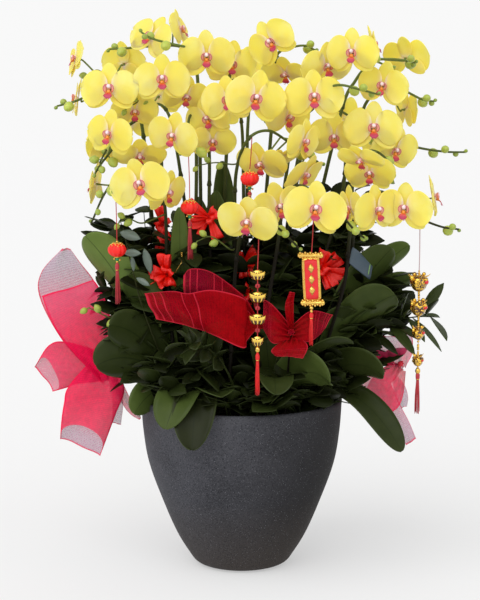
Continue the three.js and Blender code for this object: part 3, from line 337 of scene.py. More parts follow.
# Flower spikes: where each stands, the places it arches through, its blooms as (across, up, depth, yaw,
# pitch, roll, size), its number of buds, and the shares of its stem from which its buds and its stalks grow.
SPIKES = {
    "left_upper": {
        "foot": (-78, -24),
        "arch": (
            (-82, 795, -35), (-130, 840, -72), (-225, 838, -80), (-285, 815, -78), (-318, 806, -76),
        ),
        "blooms": (
            (-96, 822, -78, 15, -30, 5, 0.85), (-137, 850, -112, 5, 5, 0, 1),
            (-227, 834, -112, -10, 8, 0, 1.03),
        ),
        "buds": 3, "buds_from": 0.84,
    },
    "left_top": {
        "foot": (-66, 22),
        "arch": (
            (-76, 860, 10), (-100, 905, 5), (-150, 908, -26), (-195, 905, -30), (-228, 903, -32),
        ),
        "blooms": (
            (-105, 935, -12, 75, 15, 10, 0.85), (-155, 922, -60, -35, 20, 15, 0.95),
        ),
        "buds": 3, "buds_from": 0.84,
    },
    "top_left": {
        "foot": (-42, 24),
        "arch": (
            (-22, 820, -10), (-24, 868, -20), (-58, 902, -52), (-100, 908, -97), (-150, 920, -110),
            (-172, 932, -112),
        ),
        "blooms": (
            (-18, 876, -52, 15, -5, 5, 0.95), (-60, 890, -92, 0, -12, 0, 1),
        ),
        "buds": 4, "buds_from": 0.78,
    },
    "left_far": {
        "foot": (-132, 14),
        "arch": (
            (-175, 790, 20), (-215, 842, 4), (-238, 862, -15), (-252, 866, -42), (-264, 848, -58),
        ),
        "blooms": (
            (-200, 878, 34, 150, 15, 0, 0.95), (-284, 886, -45, -75, 10, -20, 0.8),
            (-284, 818, 18, -85, 10, 0, 0.9),
        ),
        "buds": 3, "buds_from": 0.84,
    },
    "left_middle": {
        "foot": (-134, -24),
        "arch": (
            (-140, 740, -10), (-160, 785, -20), (-195, 772, -40), (-225, 730, -84), (-242, 708, -104),
            (-254, 690, -106),
        ),
        "blooms": (
            (-184, 797, -80, 5, -30, 0, 0.85), (-228, 757, -148, -28, -5, 8, 0.95),
            (-176, 722, -112, 5, -50, 0, 0.95),
        ),
        "buds": 5, "buds_from": 0.76,
    },
    "centre_left": {
        "foot": (-48, -48),
        "arch": (
            (-56, 620, -46), (-56, 730, -40), (-66, 785, -44), (-88, 790, -72), (-92, 758, -108),
            (-86, 738, -120), (-106, 727, -124),
        ),
        "blooms": (
            (-57, 783, -82, -20, -8, -20, 0.9), (-50, 745, -72, 5, -25, 0, 0.85),
            (-118, 754, -152, -25, -15, 15, 0.95),
        ),
        "buds": 3, "buds_from": 0.86,
    },
    "centre_top": {
        "foot": (6, -32),
        "arch": (
            (4, 620, -34), (2, 745, -48), (0, 800, -80), (18, 824, -94), (36, 802, -92),
            (44, 780, -92),
        ),
        "blooms": (
            (24, 818, -152, 8, -5, 10, 1.08), (-24, 815, -126, -8, 0, -5, 0.95),
        ),
        "buds": 4, "buds_from": 0.86,
    },
    "top_centre": {
        "foot": (22, 14),
        "arch": (
            (54, 800, 20), (58, 862, 12), (62, 895, -22), (85, 906, -45), (110, 909, -50),
            (128, 900, -52),
        ),
        "blooms": (
            (76, 862, -38, -20, -50, 0, 0.9), (52, 914, -74, -25, -8, -35, 0.95),
        ),
        "buds": 4, "buds_from": 0.82,
    },
    "centre_right": {
        "foot": (34, -16),
        "arch": (
            (84, 735, -30), (94, 792, -55), (125, 826, -98), (165, 842, -142), (205, 834, -150),
            (236, 826, -152),
        ),
        "blooms": (
            (80, 786, -98, 28, -15, 10, 0.9), (125, 820, -138, 0, 0, 0, 1.05),
        ),
        "buds": 4, "buds_from": 0.78,
    },
    "right_top_inner": {
        "foot": (52, 16),
        "arch": (
            (115, 800, 0), (130, 862, -30), (152, 890, -48), (187, 890, -74), (225, 884, -84),
            (262, 870, -88),
        ),
        "blooms": (
            (146, 874, -86, 22, -22, -10, 1), (190, 896, -118, -20, -5, 0, 0.95),
        ),
        "buds": 4, "buds_from": 0.8,
    },
    "right_top_outer": {
        "foot": (76, 22),
        "arch": (
            (170, 790, 30), (196, 850, 26), (225, 882, 6), (255, 886, -20), (280, 884, -30),
            (298, 880, -32),
        ),
        "blooms": (
            (226, 908, 66, 95, 15, 0, 0.85), (282, 888, 48, 150, 20, 0, 0.95),
        ),
        "buds": 4, "buds_from": 0.84,
    },
    "right_upper": {
        "foot": (92, 4),
        "arch": (
            (200, 760, 10), (216, 814, -6), (245, 834, -30), (275, 834, -60), (310, 818, -72),
            (332, 814, -75),
        ),
        "blooms": (
            (243, 840, -98, -22, -5, 10, 0.95), (284, 800, -24, 110, 0, 0, 0.9),
        ),
        "buds": 4, "buds_from": 0.82,
    },
    "right_middle": {
        "foot": (82, -54),
        "arch": (
            (172, 640, -36), (184, 742, -40), (212, 772, -66), (250, 752, -48), (300, 736, -60),
            (350, 728, -70), (388, 727, -72),
        ),
        "blooms": (
            (160, 752, -82, -5, -18, 0, 0.97), (227, 767, -108, 3, 5, 0, 1.05),
            (264, 729, -86, 25, -20, 5, 0.95),
        ),
        "buds": 4, "buds_from": 0.8,
    },
    "right_inner": {
        "foot": (104, -64),
        "arch": (
            (190, 540, -60), (192, 650, -70), (196, 712, -90), (222, 730, -112), (250, 715, -124),
            (264, 672, -130),
        ),
        "blooms": (
            (207, 714, -186, -30, -55, 0, 0.85), (222, 690, -146, -10, -25, 0, 0.9),
        ),
        "buds": 4, "buds_from": 0.82,
    },
    "centre_low": {
        "foot": (-12, -62),
        "arch": (
            (-12, 620, -60), (-8, 700, -100), (12, 750, -148), (46, 764, -132), (82, 744, -104),
            (112, 722, -98), (142, 704, -98),
        ),
        "blooms": (
            (34, 706, -128, -25, -35, 0, 0.95), (64, 716, -108, 40, -60, 0, 0.85),
            (106, 744, -150, 52, -15, 5, 0.9), (108, 688, -126, 50, -35, 0, 0.9),
        ),
        "buds": 4, "buds_from": 0.82, "stalks_from": 0.7,
    },
    "left_front": {
        "foot": (-112, -70),
        "arch": (
            (-130, 520, -70), (-134, 640, -84), (-160, 700, -116), (-205, 694, -138),
            (-237, 656, -150), (-262, 602, -156),
        ),
        "blooms": (
            (-130, 656, -126, 48, -18, 0, 0.9), (-176, 669, -176, -5, 5, -15, 1.05),
            (-254, 672, -74, -100, 5, 10, 0.9),
        ),
        "buds": 4, "buds_from": 0.8,
    },
    "front_middle": {
        "foot": (22, -118),
        "arch": (
            (62, 560, -120), (74, 640, -150), (98, 668, -190), (123, 660, -216), (160, 634, -226),
            (196, 592, -236), (217, 576, -240),
        ),
        "blooms": (
            (66, 630, -196, 14, -5, -15, 1), (127, 626, -256, 8, 5, 8, 1.08),
        ),
        "buds": 4, "buds_from": 0.82,
    },
    "front_low": {
        "foot": (-22, -124),
        "arch": (
            (-10, 530, -150), (2, 600, -194), (14, 628, -212), (36, 618, -220), (72, 588, -230),
            (104, 556, -234),
        ),
        "blooms": (
            (10, 606, -250, -15, -28, 10, 1.05),
        ),
        "buds": 4, "buds_from": 0.8,
    },
    "right_front": {
        "foot": (126, -56),
        "arch": (
            (180, 500, -110), (192, 610, -130), (218, 656, -156), (262, 652, -150), (310, 614, -154),
            (346, 598, -166), (378, 593, -172),
        ),
        "blooms": (
            (190, 628, -172, -65, -15, 0, 0.9), (234, 625, -204, 38, -5, -5, 0.97),
            (283, 628, -184, -18, -5, 5, 1), (334, 648, -108, 80, 10, 15, 0.9),
        ),
        "buds": 3, "buds_from": 0.88,
    },
    "back_left": {
        "foot": (-66, 66),
        "arch": (
            (-110, 720, 70), (-130, 800, 84), (-165, 804, 98), (-215, 760, 102), (-250, 700, 102),
        ),
        "blooms": (
            (-142, 822, 134, 172, 0, 0, 0.95), (-190, 778, 138, -160, -5, 10, 1),
            (-238, 735, 130, -138, 0, -10, 0.9),
        ),
        "buds": 3, "buds_from": 0.86,
    },
    "back_centre": {
        "foot": (10, 62),
        "arch": (
            (10, 740, 60), (12, 830, 76), (-12, 852, 98), (-50, 815, 112), (-78, 762, 112),
        ),
        "blooms": (
            (12, 866, 134, 178, 5, 0, 1), (-40, 800, 148, -172, -5, 5, 0.95),
        ),
        "buds": 3, "buds_from": 0.86,
    },
    "back_right": {
        "foot": (48, 92),
        "arch": (
            (100, 730, 70), (120, 800, 78), (165, 800, 92), (215, 765, 98), (255, 715, 98),
        ),
        "blooms": (
            (128, 824, 124, 172, 0, 0, 0.95), (182, 780, 134, 160, -5, -10, 1),
            (242, 742, 128, 140, 0, 10, 0.95),
        ),
        "buds": 3, "buds_from": 0.86,
    },
}

# Strap-leaved plants: where each stands, and its leaves as the (across, up, depth) of their tips, and then
# their (width, lift, twist).
PLANTS = {
    "plant_left": {
        "foot": (-104, -38),
        "leaves": (
            (-272, 582, -66, 84, 60, 62), (-216, 596, -20, 52, 50, -55), (-256, 352, -96, 80, 70, 72),
            (-232, 424, -130, 70, 60, 64), (-196, 514, -92, 66, 45, 52),
        ),
    },
    "plant_front_left": {
        "foot": (-66, -92),
        "leaves": (
            (-134, 238, -206, 70, 84, -10), (-88, 200, -216, 74, 110, 8), (-34, 296, -212, 60, 24, 0),
            (-112, 452, -136, 60, 40, -30), (-36, 430, -146, 58, 30, 15),
        ),
    },
    "plant_front_right": {
        "foot": (52, -100),
        "leaves": (
            (156, 322, -206, 84, 70, -52), (60, 300, -222, 62, 70, -10), (140, 430, -150, 66, 40, -34),
            (36, 440, -140, 58, 40, 20), (196, 392, -150, 64, 50, -20),
        ),
    },
    "plant_right": {
        "foot": (112, -26),
        "leaves": (
            (284, 198, -120, 52, 96, 48), (250, 334, -150, 60, 70, -60), (262, 560, -58, 76, 60, -62),
            (268, 478, -112, 84, 60, -52), (196, 452, -96, 66, 40, -30),
        ),
    },
    "plant_right_rear": {
        "foot": (96, 52),
        "leaves": (
            (292, 566, 6, 54, 70, -60), (300, 508, 0, 60, 70, -48), (250, 400, 120, 70, 80, 10),
            (130, 420, 190, 72, 80, 0),
        ),
    },
    "plant_rear": {
        "foot": (-22, 104),
        "leaves": (
            (-10, 330, 250, 74, 110, 0), (-90, 470, 190, 70, 70, 20), (60, 560, 150, 66, 50, -20),
            (-60, 610, 110, 60, 40, 10),
        ),
    },
    "plant_left_rear": {
        "foot": (-106, 52),
        "leaves": (
            (-250, 420, 110, 74, 90, -12), (-220, 520, 100, 66, 60, -50), (-130, 360, 210, 72, 90, 0),
        ),
    },
    "plant_middle": {
        "foot": (-20, -4),
        "leaves": (
            (-34, 712, 10, 46, 0, 25), (-44, 660, -20, 50, 0, -20), (-76, 650, 30, 40, 0, 30),
            (60, 600, 10, 54, 10, -25),
        ),
    },
}

# Leafy sprigs: where each stands, its tip, how many leaves it has on a side, their length and slimness, and
# the share of its stem from which they grow.
SPRIGS = {
    "sprig_left": {
        "foot": (-142, 12), "tip": (-248, 484, 6), "count": 9, "length": 50, "slim": 0.26, "from": 0.5,
    },
    "sprig_right": {
        "foot": (142, 16), "tip": (338, 440, -40), "count": 9, "length": 78, "slim": 0.26, "from": 0.5,
    },
    "sprig_front": {
        "foot": (0, -146), "tip": (-100, 392, -212), "count": 9, "length": 42, "slim": 0.6, "from": 0.4,
    },
    "sprig_back_left": {
        "foot": (-60, 128), "tip": (-150, 500, 160), "count": 8, "length": 66, "slim": 0.5, "from": 0.6,
    },
    "sprig_back_right": {
        "foot": (58, 132), "tip": (170, 545, 160), "count": 8, "length": 66, "slim": 0.5, "from": 0.62,
    },
}

# Bows: the knot as (across, up, front, back, radius), where its pick stands and bends, and each strip's
# stations as (across, up) of one edge, (across, up) of the other, and their depth.
BOWS = {
    "bow_left": {
        "knot": (-235, 355, -14, 42, 20), "pick": ((-134, 36), (-140, 36, 330)),
        "strips": (
            (
                (-244, 320, -213, 377, 0), (-290, 370, -225, 421, -14), (-321, 409, -237, 466, -20),
                (-340, 448, -248, 490, -16), (-349, 476, -258, 504, -6),
            ),
            (
                (-244, 322, -213, 379, 22), (-310, 392, -238, 462, 40), (-352, 470, -258, 504, 44),
                (-350, 516, -280, 534, 36), (-312, 560, -298, 560, 26),
            ),
            (
                (-240, 377, -232, 325, 12), (-307, 395, -290, 319, 16), (-339, 388, -307, 313, 18),
                (-365, 349, -333, 306, 26),
            ),
            (
                (-262, 366, -216, 344, 6), (-305, 315, -206, 308, -2), (-313, 286, -221, 268, -6),
                (-318, 254, -236, 228, -4), (-321, 220, -251, 188, 6),
            ),
            (
                (-240, 345, -222, 340, 30), (-228, 299, -209, 292, 30), (-228, 250, -213, 246, 28),
            ),
            (
                (-238, 346, -222, 350, 30), (-211, 285, -197, 296, 36), (-195, 264, -185, 278, 44),
                (-180, 255, -176, 269, 54),
            ),
        ),
    },
    "bow_right": {
        "knot": (280, 356, 6, 38, 15), "pick": ((136, 44), (142, 44, 330)),
        "strips": (
            (
                (272, 350, 290, 350, 20), (240, 366, 300, 372, 12), (226, 388, 301, 398, 6),
                (240, 404, 296, 408, 2),
            ),
            (
                (270, 359, 288, 342, 24), (256, 352, 284, 301, 16), (239, 344, 272, 274, 6),
                (214, 336, 246, 266, 14), (180, 322, 204, 270, 34),
            ),
            (
                (272, 352, 287, 352, 30), (249, 348, 266, 324, 26), (221, 309, 264, 318, 26),
                (254, 264, 283, 277, 24), (274, 236, 297, 250, 24), (292, 209, 309, 221, 22),
            ),
            (
                (266, 330, 274, 334, 34), (268, 312, 288, 316, 40), (272, 296, 294, 296, 42),
                (282, 276, 292, 280, 34),
            ),
        ),
    },
    "bow_front": {
        "knot": (87, 412, -210, -180, 15), "pick": ((74, -126), (76, -130, 340)),
        "strips": (
            (
                (86, 424, 86, 408, -184), (34, 434, 34, 418, -188), (12, 450, 9, 398, -196),
                (4, 472, 2, 384, -203), (-50, 487, -45, 405, -202), (-95, 481, -73, 416, -190),
                (-123, 485, -97, 423, -196), (-171, 480, -150, 435, -176),
            ),
            (
                (86, 424, 86, 410, -186), (30, 440, 30, 426, -184), (4, 476, 4, 420, -186),
                (-50, 517, -50, 451, -184), (-88, 524, -88, 462, -180), (-102, 512, -101, 469, -178),
            ),
            (
                (84, 426, 84, 398, -200), (55, 460, 55, 392, -203), (38, 472, 38, 416, -200),
            ),
            (
                (90, 426, 90, 398, -198), (122, 450, 120, 395, -203), (160, 443, 140, 409, -200),
            ),
            (
                (80, 405, 98, 405, -196), (53, 381, 116, 388, -204), (59, 370, 108, 366, -202),
            ),
            (
                (82, 416, 92, 416, -204), (76, 456, 91, 462, -206), (84, 484, 93, 482, -204),
            ),
        ),
    },
}

# Satin ties: the radius and half the height of a band round a stem. Then the stem and the height that each
# is wound at, its width, and the ends of its loops as (across, up, depth) from there. An extra one has no
# solid of its own in the source.
BAND_RADIUS = 6
BAND_HALF = 6.5
TIES = {
    "tie_left": {
        "stem": "left_front", "height": 524, "width": 22,
        "flaps": ((-4, 34, -14), (-24, 6, -18), (-16, -14, -20), (4, -18, -16), (-30, -6, -8), (2, 10, -20)),
    },
    "tie_upper": {
        "stem": "centre_left", "height": 618, "width": 20,
        "flaps": (
            (-34, 24, -8), (-30, -6, -16), (6, -4, -16), (14, -34, -14), (-24, -30, -12), (12, 12, -14),
        ),
    },
    "tie_centre": {
        "stem": "centre_top", "height": 536, "width": 20,
        "flaps": (
            (-12, 20, -16), (-16, -4, -18), (20, 26, -14), (30, 2, -14), (34, -24, -12), (2, -20, -16),
        ),
    },
    "tie_right": {
        "stem": "right_middle", "height": 530, "width": 24,
        "flaps": ((-20, 10, -14), (30, 20, -12), (40, -10, -10), (8, 30, -10), (18, -30, -16), (6, -6, -20)),
    },
    "tie_inner_left": {
        "stem": "left_middle", "height": 604, "width": 20, "extra": True,
        "flaps": ((-4, 30, -12), (8, 12, -14), (-8, -6, -16), (8, -28, -10), (-2, -44, -8)),
    },
    "tie_low": {
        "stem": "centre_top", "height": 486, "width": 22, "extra": True,
        "flaps": ((-30, 8, -20), (-16, -8, -24), (12, 14, -20), (20, -28, -22), (8, -8, -26)),
    },
}


def sighted(across, up, depth):
    """The place at a depth that a front view sees over a point of the plane through the pot's axis."""
    share = (depth + SIGHT_BACK) / SIGHT_BACK
    return EYE + (np.array((across, 0.0, up)) - EYE) * share


def unit(vector):
    return vector / max(np.linalg.norm(vector), 1e-12)


def turned_about(vector, axis, angle):
    """A vector turned about a unit axis by an angle in radians."""
    c, s = math.cos(angle), math.sin(angle)
    return vector * c + np.cross(axis, vector) * s + axis * np.dot(axis, vector) * (1 - c)


def smooth_route(points, per_span):
    """Points on one smooth curve through the given ones."""
    p = np.array(points, float)
    p = np.vstack([2 * p[0] - p[1], p, 2 * p[-1] - p[-2]])
    made = []
    for a, b, c, d in zip(p, p[1:], p[2:], p[3:]):
        for k in range(per_span):
            t = k / per_span
            bend = (2 * a - 5 * b + 4 * c - d) * t * t + (3 * b - a - 3 * c + d) * t**3
            made.append((2 * b + (c - a) * t + bend) / 2)
    return np.vstack([made, p[-2]])


def at_share(route, t):
    """The point at a share of a route's steps."""
    place = min(max(t, 0.0), 1.0) * (len(route) - 1)
    i = min(int(place), len(route) - 2)
    return route[i] + (route[i + 1] - route[i]) * (place - i)


def spaced(low, high, count):
    return [low + (high - low) * i / (count - 1) for i in range(count)]


def turns_of(count, start=0.0):
    """Even turns round a circle, in radians."""
    return [2 * math.pi * k / count + start for k in range(count)]


def around(turn, deep=1.0):
    """The level way at a turn round an upright axis, squeezed from front to back."""
    return np.array((math.cos(turn), deep * math.sin(turn), 0.0))


def shares_over(rows, columns):
    """Texture places over a grid: the share along it and the share across it."""
    return np.stack(np.meshgrid(spaced(0, 1, columns), spaced(0, 1, rows)), axis=2)[..., ::-1]


def runs_along(line):
    """How far along a line each of its points is."""
    return np.concatenate([[0], np.cumsum(np.linalg.norm(np.diff(line, axis=0), axis=1))])


def across_grid(grid):
    """Unit normals of a grid of points."""
    along, over = np.gradient(grid, axis=0), np.gradient(grid, axis=1)
    normals = np.cross(over, along)
    return normals / np.maximum(np.linalg.norm(normals, axis=2, keepdims=True), 1e-9)


def grid_faces(rows, columns, wrap=False):
    faces = []
    for i in range(rows - 1):
        for j in range(columns if wrap else columns - 1):
            k = (j + 1) % columns
            faces.append((i * columns + j, i * columns + k, (i + 1) * columns + k, (i + 1) * columns + j))
    return faces


def rim_order(rows, columns):
    top = [(0, j) for j in range(columns)]
    right = [(i, columns - 1) for i in range(1, rows)]
    bottom = [(rows - 1, j) for j in range(columns - 2, -1, -1)]
    left = [(i, 0) for i in range(rows - 2, 0, -1)]
    return [i * columns + j for i, j in top + right + bottom + left]


def slab_faces(rows, columns):
    """Faces of a thin shell: a front grid, a back grid after it, and the rim between them."""
    front = grid_faces(rows, columns)
    size = rows * columns
    back = [tuple(size + i for i in reversed(face)) for face in front]
    rim = rim_order(rows, columns)
    sides = [(b, a, a + size, b + size) for a, b in zip(rim, rim[1:] + rim[:1])]
    return front + back + sides


class Sheaf:
    """Gathers surfaces, in millimetres, into one piece, each with its material, tone and texture places."""

    def __init__(self):
        self.points, self.places, self.tones = [], [], []
        self.faces, self.slots = [], []
        self.count = 0

    def add(self, points, places, faces, slot, tone):
        points = np.asarray(points, float).reshape(-1, 3)
        self.points.append(points)
        self.places.append(np.asarray(places, float).reshape(-1, 2))
        self.tones.append(np.broadcast_to(np.asarray(tone, float).ravel(), len(points)))
        self.faces += [tuple(self.count + i for i in face) for face in faces]
        self.slots += [slot] * len(faces)
        self.count += len(points)

    def sheet(self, grid, places, slot, tone=0.5):
        self.add(grid, places, grid_faces(*grid.shape[:2]), slot, tone)

    def slab(self, grid, places, slot, thickness, tone=0.5):
        half = across_grid(grid) * (thickness / 2)
        places = np.concatenate([places.reshape(-1, 2)] * 2)
        self.add(np.stack([grid + half, grid - half]), places, slab_faces(*grid.shape[:2]), slot, tone)

    def tube(self, route, radii, sides, slot, tone=0.5, flat=1.0):
        """A closed tube along a route, with a radius at each point; flat squeezes it across."""
        route = np.asarray(route, float)
        radii = np.broadcast_to(np.asarray(radii, float), len(route))
        along = np.gradient(route, axis=0)
        along /= np.maximum(np.linalg.norm(along, axis=1, keepdims=True), 1e-9)
        side = np.cross(along[0], UP)
        if np.linalg.norm(side) < 0.1:
            side = np.array((1.0, 0.0, 0.0))
        rings, places = [], []
        for spot, way, radius, run in zip(route, along, radii, runs_along(route)):
            side = unit(side - way * np.dot(side, way))
            up = np.cross(way, side) * flat
            rings.append([spot + (side * math.cos(a) + up * math.sin(a)) * radius for a in turns_of(sides)])
            places.append([(run, k / sides) for k in range(sides)])
        last = (len(route) - 1) * sides
        faces = [tuple(reversed(face)) for face in grid_faces(len(route), sides, True)]
        faces += [tuple(range(sides)), tuple(last + k for k in reversed(range(sides)))]
        self.add(rings, places, faces, slot, tone)

    def turned(self, profile, centre, sides, slot, tone=0.5, ribs=0, rib_depth=0.0):
        """An upright turned shape from (radius, height) points, which start and end on its axis."""
        x, y, z = centre
        points = []
        for radius, height in profile[1:-1]:
            for a in turns_of(sides):
                reach = radius * (1 + rib_depth * math.cos(ribs * a))
                points.append((x + reach * math.cos(a), y + reach * math.sin(a), z + height))
        points = np.array(points + [(x, y, z + profile[i][1]) for i in (0, -1)])
        rows = len(profile) - 2
        faces = grid_faces(rows, sides, True)
        low, high = rows * sides, rows * sides + 1
        for k in range(sides):
            after = (k + 1) % sides
            faces.append((low, after, k))
            faces.append((high, (rows - 1) * sides + k, (rows - 1) * sides + after))
        if profile[0][1] > profile[-1][1]:
            faces = [tuple(reversed(face)) for face in faces]
        places = np.stack([points[:, 0] + points[:, 1], points[:, 2]], axis=1)
        self.add(points, places, faces, slot, tone)

    def piece(self, name, materials, slot, *nodes):
        """The gathered surfaces as one smooth piece that rides on the body and stands for CAD nodes."""
        mesh = bpy.data.meshes.new(name)
        mesh.from_pydata((np.concatenate(self.points) * MM).tolist(), [], self.faces)
        for each in materials:
            mesh.materials.append(each)
        mesh.polygons.foreach_set("material_index", self.slots)
        mesh.polygons.foreach_set("use_smooth", [True] * len(self.faces))
        corners = np.zeros(len(mesh.loops), np.int32)
        mesh.loops.foreach_get("vertex_index", corners)
        layer = mesh.uv_layers.new(name="places")
        layer.data.foreach_set("uv", np.concatenate(self.places)[corners].astype(np.float32).ravel())
        tone = mesh.attributes.new("tone", "FLOAT", "POINT")
        tone.data.foreach_set("value", np.concatenate(self.tones).astype(np.float32))
        mesh.update()
        made = bpy.data.objects.new(name, mesh)
        bpy.context.scene.collection.objects.link(made)
        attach(made, BODY)
        if nodes:
            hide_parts(*nodes)
        return made


# Materials. Shades are (share, colour) along a ramp.
BLACK, WHITE = (0, 0, 0), (1, 1, 1)
FULL_TURN = 6.283
PETAL_GLOW = 0.045
LEMON_SHADES = (
    (0.0, (0.86, 0.48, 0.46)),
    (0.06, (0.88, 0.74, 0.56)),
    (0.13, (0.88, 0.7, 0.2)),
    (0.24, (0.87, 0.645, 0.065)),
    (0.75, (0.88, 0.665, 0.065)),
    (1.0, (0.89, 0.73, 0.18)),
)
GOLDEN_SHADES = (0.0, (0.84, 0.6, 0.36)), (0.25, (0.88, 0.61, 0.012)), (1.0, (0.88, 0.68, 0.05))
LIP_SHADES = (
    (0.0, (0.88, 0.4, 0.04)),
    (0.22, (0.7, 0.1, 0.03)),
    (0.5, (0.45, 0.015, 0.045)),
    (1.0, (0.56, 0.07, 0.18)),
)
WING_SHADES = (0.0, (0.86, 0.36, 0.05)), (0.45, (0.88, 0.55, 0.42)), (1.0, (0.84, 0.4, 0.45))
COLUMN_SHADES = (0.0, (0.85, 0.42, 0.42)), (0.4, (0.88, 0.6, 0.6)), (1.0, (0.9, 0.74, 0.74))
DEEP_GREENS = (0.008, 0.009, 0.003), (0.019, 0.022, 0.006)
SLATE_SHADES = (0.3, (0.028, 0.029, 0.034)), (0.55, (0.052, 0.053, 0.062)), (0.8, (0.088, 0.089, 0.1))
BARK_SHADES = (0.3, (0.012, 0.007, 0.004)), (0.6, (0.05, 0.026, 0.012)), (0.8, (0.11, 0.062, 0.03))
MOSS_SHADES = (0.3, (0.02, 0.03, 0.006)), (0.7, (0.09, 0.12, 0.02))
# Belts along an ingot's height where its slots are painted dark as shade.
CAGE_BELTS = (
    (0.0, BLACK),
    (0.08, WHITE),
    (0.26, WHITE),
    (0.32, BLACK),
    (0.58, BLACK),
    (0.62, WHITE),
    (0.78, WHITE),
    (0.82, BLACK),
)


def node(tree, kind, settings=None, **inputs):
    """A shader node, with values set on its sockets and other nodes' sockets linked to them."""
    made = tree.nodes.new("ShaderNode" + kind)
    for name, value in (settings or {}).items():
        setattr(made, name, value)
    for name, value in inputs.items():
        socket = made.inputs[name.replace("_", " ")]
        if isinstance(value, bpy.types.NodeSocket):
            tree.links.new(value, socket)
        else:
            socket.default_value = value
    return made


def sums(tree, operation, *values):
    made = tree.nodes.new("ShaderNodeMath")
    made.operation = operation
    for socket, value in zip(made.inputs, values):
        if isinstance(value, bpy.types.NodeSocket):
            tree.links.new(value, socket)
        else:
            socket.default_value = value
    return made.outputs[0]


def times(tree, first, second):
    return sums(tree, "MULTIPLY", first, second)


def waves(tree, value, pace):
    """A sine wave over a value, with so many radians to one unit of it."""
    return sums(tree, "SINE", times(tree, value, pace))


def away_from(tree, value, centre=0.5):
    return sums(tree, "ABSOLUTE", sums(tree, "SUBTRACT", value, centre))


def ramp(tree, share, stops):
    """A colour that runs through stops of (share, colour)."""
    made = tree.nodes.new("ShaderNodeValToRGB")
    tree.links.new(share, made.inputs["Fac"])
    elements = made.color_ramp.elements
    while len(elements) < len(stops):
        elements.new(0.5)
    for element, (place, colour) in zip(elements, stops):
        element.position = place
        element.color = (*colour, 1)
    return made.outputs["Color"]


def rising(tree, share, low, high):
    """A mask that is 0 up to the low share and 1 from the high one on."""
    return ramp(tree, share, ((low, BLACK), (high, WHITE)))


def falling(tree, share, low, high):
    """A mask that is 1 up to the low share and 0 from the high one on."""
    return ramp(tree, share, ((low, WHITE), (high, BLACK)))


def blend(tree, share, first, second, mode="MIX"):
    made = tree.nodes.new("ShaderNodeMix")
    made.data_type = "RGBA"
    made.blend_type = mode
    for socket, value in zip((made.inputs[0], made.inputs[6], made.inputs[7]), (share, first, second)):
        if isinstance(value, bpy.types.NodeSocket):
            tree.links.new(value, socket)
        else:
            socket.default_value = value if socket is made.inputs[0] else (*value, 1)
    return made.outputs[2]


def tint(tree, colour, mask, share, over):
    """A colour with another laid over it by a share of a mask."""
    return blend(tree, times(tree, mask, share), colour, over)


def new_material(name, roughness, **values):
    """A material with its tree and its shader, whose constant values are set on its own sockets."""
    made = bpy.data.materials.new(name)
    made.use_nodes = True
    shader = made.node_tree.nodes["Principled BSDF"]
    shader.inputs["Roughness"].default_value = roughness
    for key, value in values.items():
        shader.inputs[key.replace("_", " ")].default_value = value
    return made, made.node_tree, shader


def paint(tree, shader, colour=None, bump=None, strength=0.3, distance=0.0005, **links):
    if colour is not None:
        tree.links.new(colour, shader.inputs["Base Color"])
    for name, value in links.items():
        tree.links.new(value, shader.inputs[name.replace("_", " ")])
    if bump is not None:
        raised = node(tree, "Bump", Strength=strength, Distance=distance, Height=bump)
        tree.links.new(raised.outputs["Normal"], shader.inputs["Normal"])


def tone_of(tree):
    return node(tree, "Attribute", {"attribute_name": "tone"}).outputs["Fac"]


def places_of(tree):
    """The two texture places: along and across."""
    split = node(tree, "SeparateXYZ", Vector=node(tree, "UVMap", {"uv_map": "places"}).outputs["UV"])
    return split.outputs["X"], split.outputs["Y"]


def noise(tree, scale, detail=3.0, roughness=0.5):
    """A noise over the piece's own space."""
    space = node(tree, "TexCoord").outputs["Object"]
    made = node(tree, "TexNoise", Vector=space, Scale=scale, Detail=detail, Roughness=roughness)
    return made.outputs["Fac"]


def veins_of(tree, along, across, scale, distortion, detail):
    """Fine lengthwise waves over a petal or a leaf."""
    space = node(tree, "CombineXYZ", X=along, Y=across).outputs["Vector"]
    settings = {"bands_direction": "Y"}
    made = node(tree, "TexWave", settings, Vector=space, Scale=scale, Distortion=distortion, Detail=detail)
    return made.outputs["Fac"]


def petal_material():
    """Waxy petals: pale at the column, lemon further out, with fine veins that fan out from the base.

    A faint glow stands for the light that passes through them."""
    made, tree, shader = new_material(
        "petal",
        0.5,
        Subsurface_Weight=0.6,
        Subsurface_Scale=0.01,
        Subsurface_Radius=(1.0, 0.7, 0.2),
        Emission_Color=(0.9, 0.82, 0.6, 1),
        Emission_Strength=PETAL_GLOW,
    )
    along, across = places_of(tree)
    colour = blend(tree, tone_of(tree), ramp(tree, along, LEMON_SHADES), ramp(tree, along, GOLDEN_SHADES))
    veins = veins_of(tree, times(tree, along, 0.6), times(tree, across, 9.0), 0.9, 2.2, 2.0)
    wash = noise(tree, 24.0)
    colour = tint(tree, colour, veins, 0.14, (0.86, 0.58, 0.1))
    colour = tint(tree, colour, rising(tree, wash, 0.5, 0.68), 0.5, (0.93, 0.66, 0.012))
    colour = tint(tree, colour, falling(tree, wash, 0.32, 0.48), 0.35, (0.9, 0.77, 0.3))
    colour = tint(tree, colour, noise(tree, 60.0), 0.16, (0.95, 0.88, 0.3))
    paint(tree, shader, colour, veins, strength=0.18, distance=0.0006)
    return made


def lip_material():
    """The lip: orange at its base, crimson in its middle, magenta at its tip, with darker stripes."""
    made, tree, shader = new_material("lip", 0.38, Subsurface_Weight=0.1, Subsurface_Scale=0.003)
    along, across = places_of(tree)
    stripes = waves(tree, across, 34.0)
    lines = sums(tree, "GREATER_THAN", stripes, 0.2)
    colour = tint(tree, ramp(tree, along, LIP_SHADES), lines, 0.35, (0.45, 0.01, 0.06))
    paint(tree, shader, colour, stripes, strength=0.1, distance=0.0003)
    return made


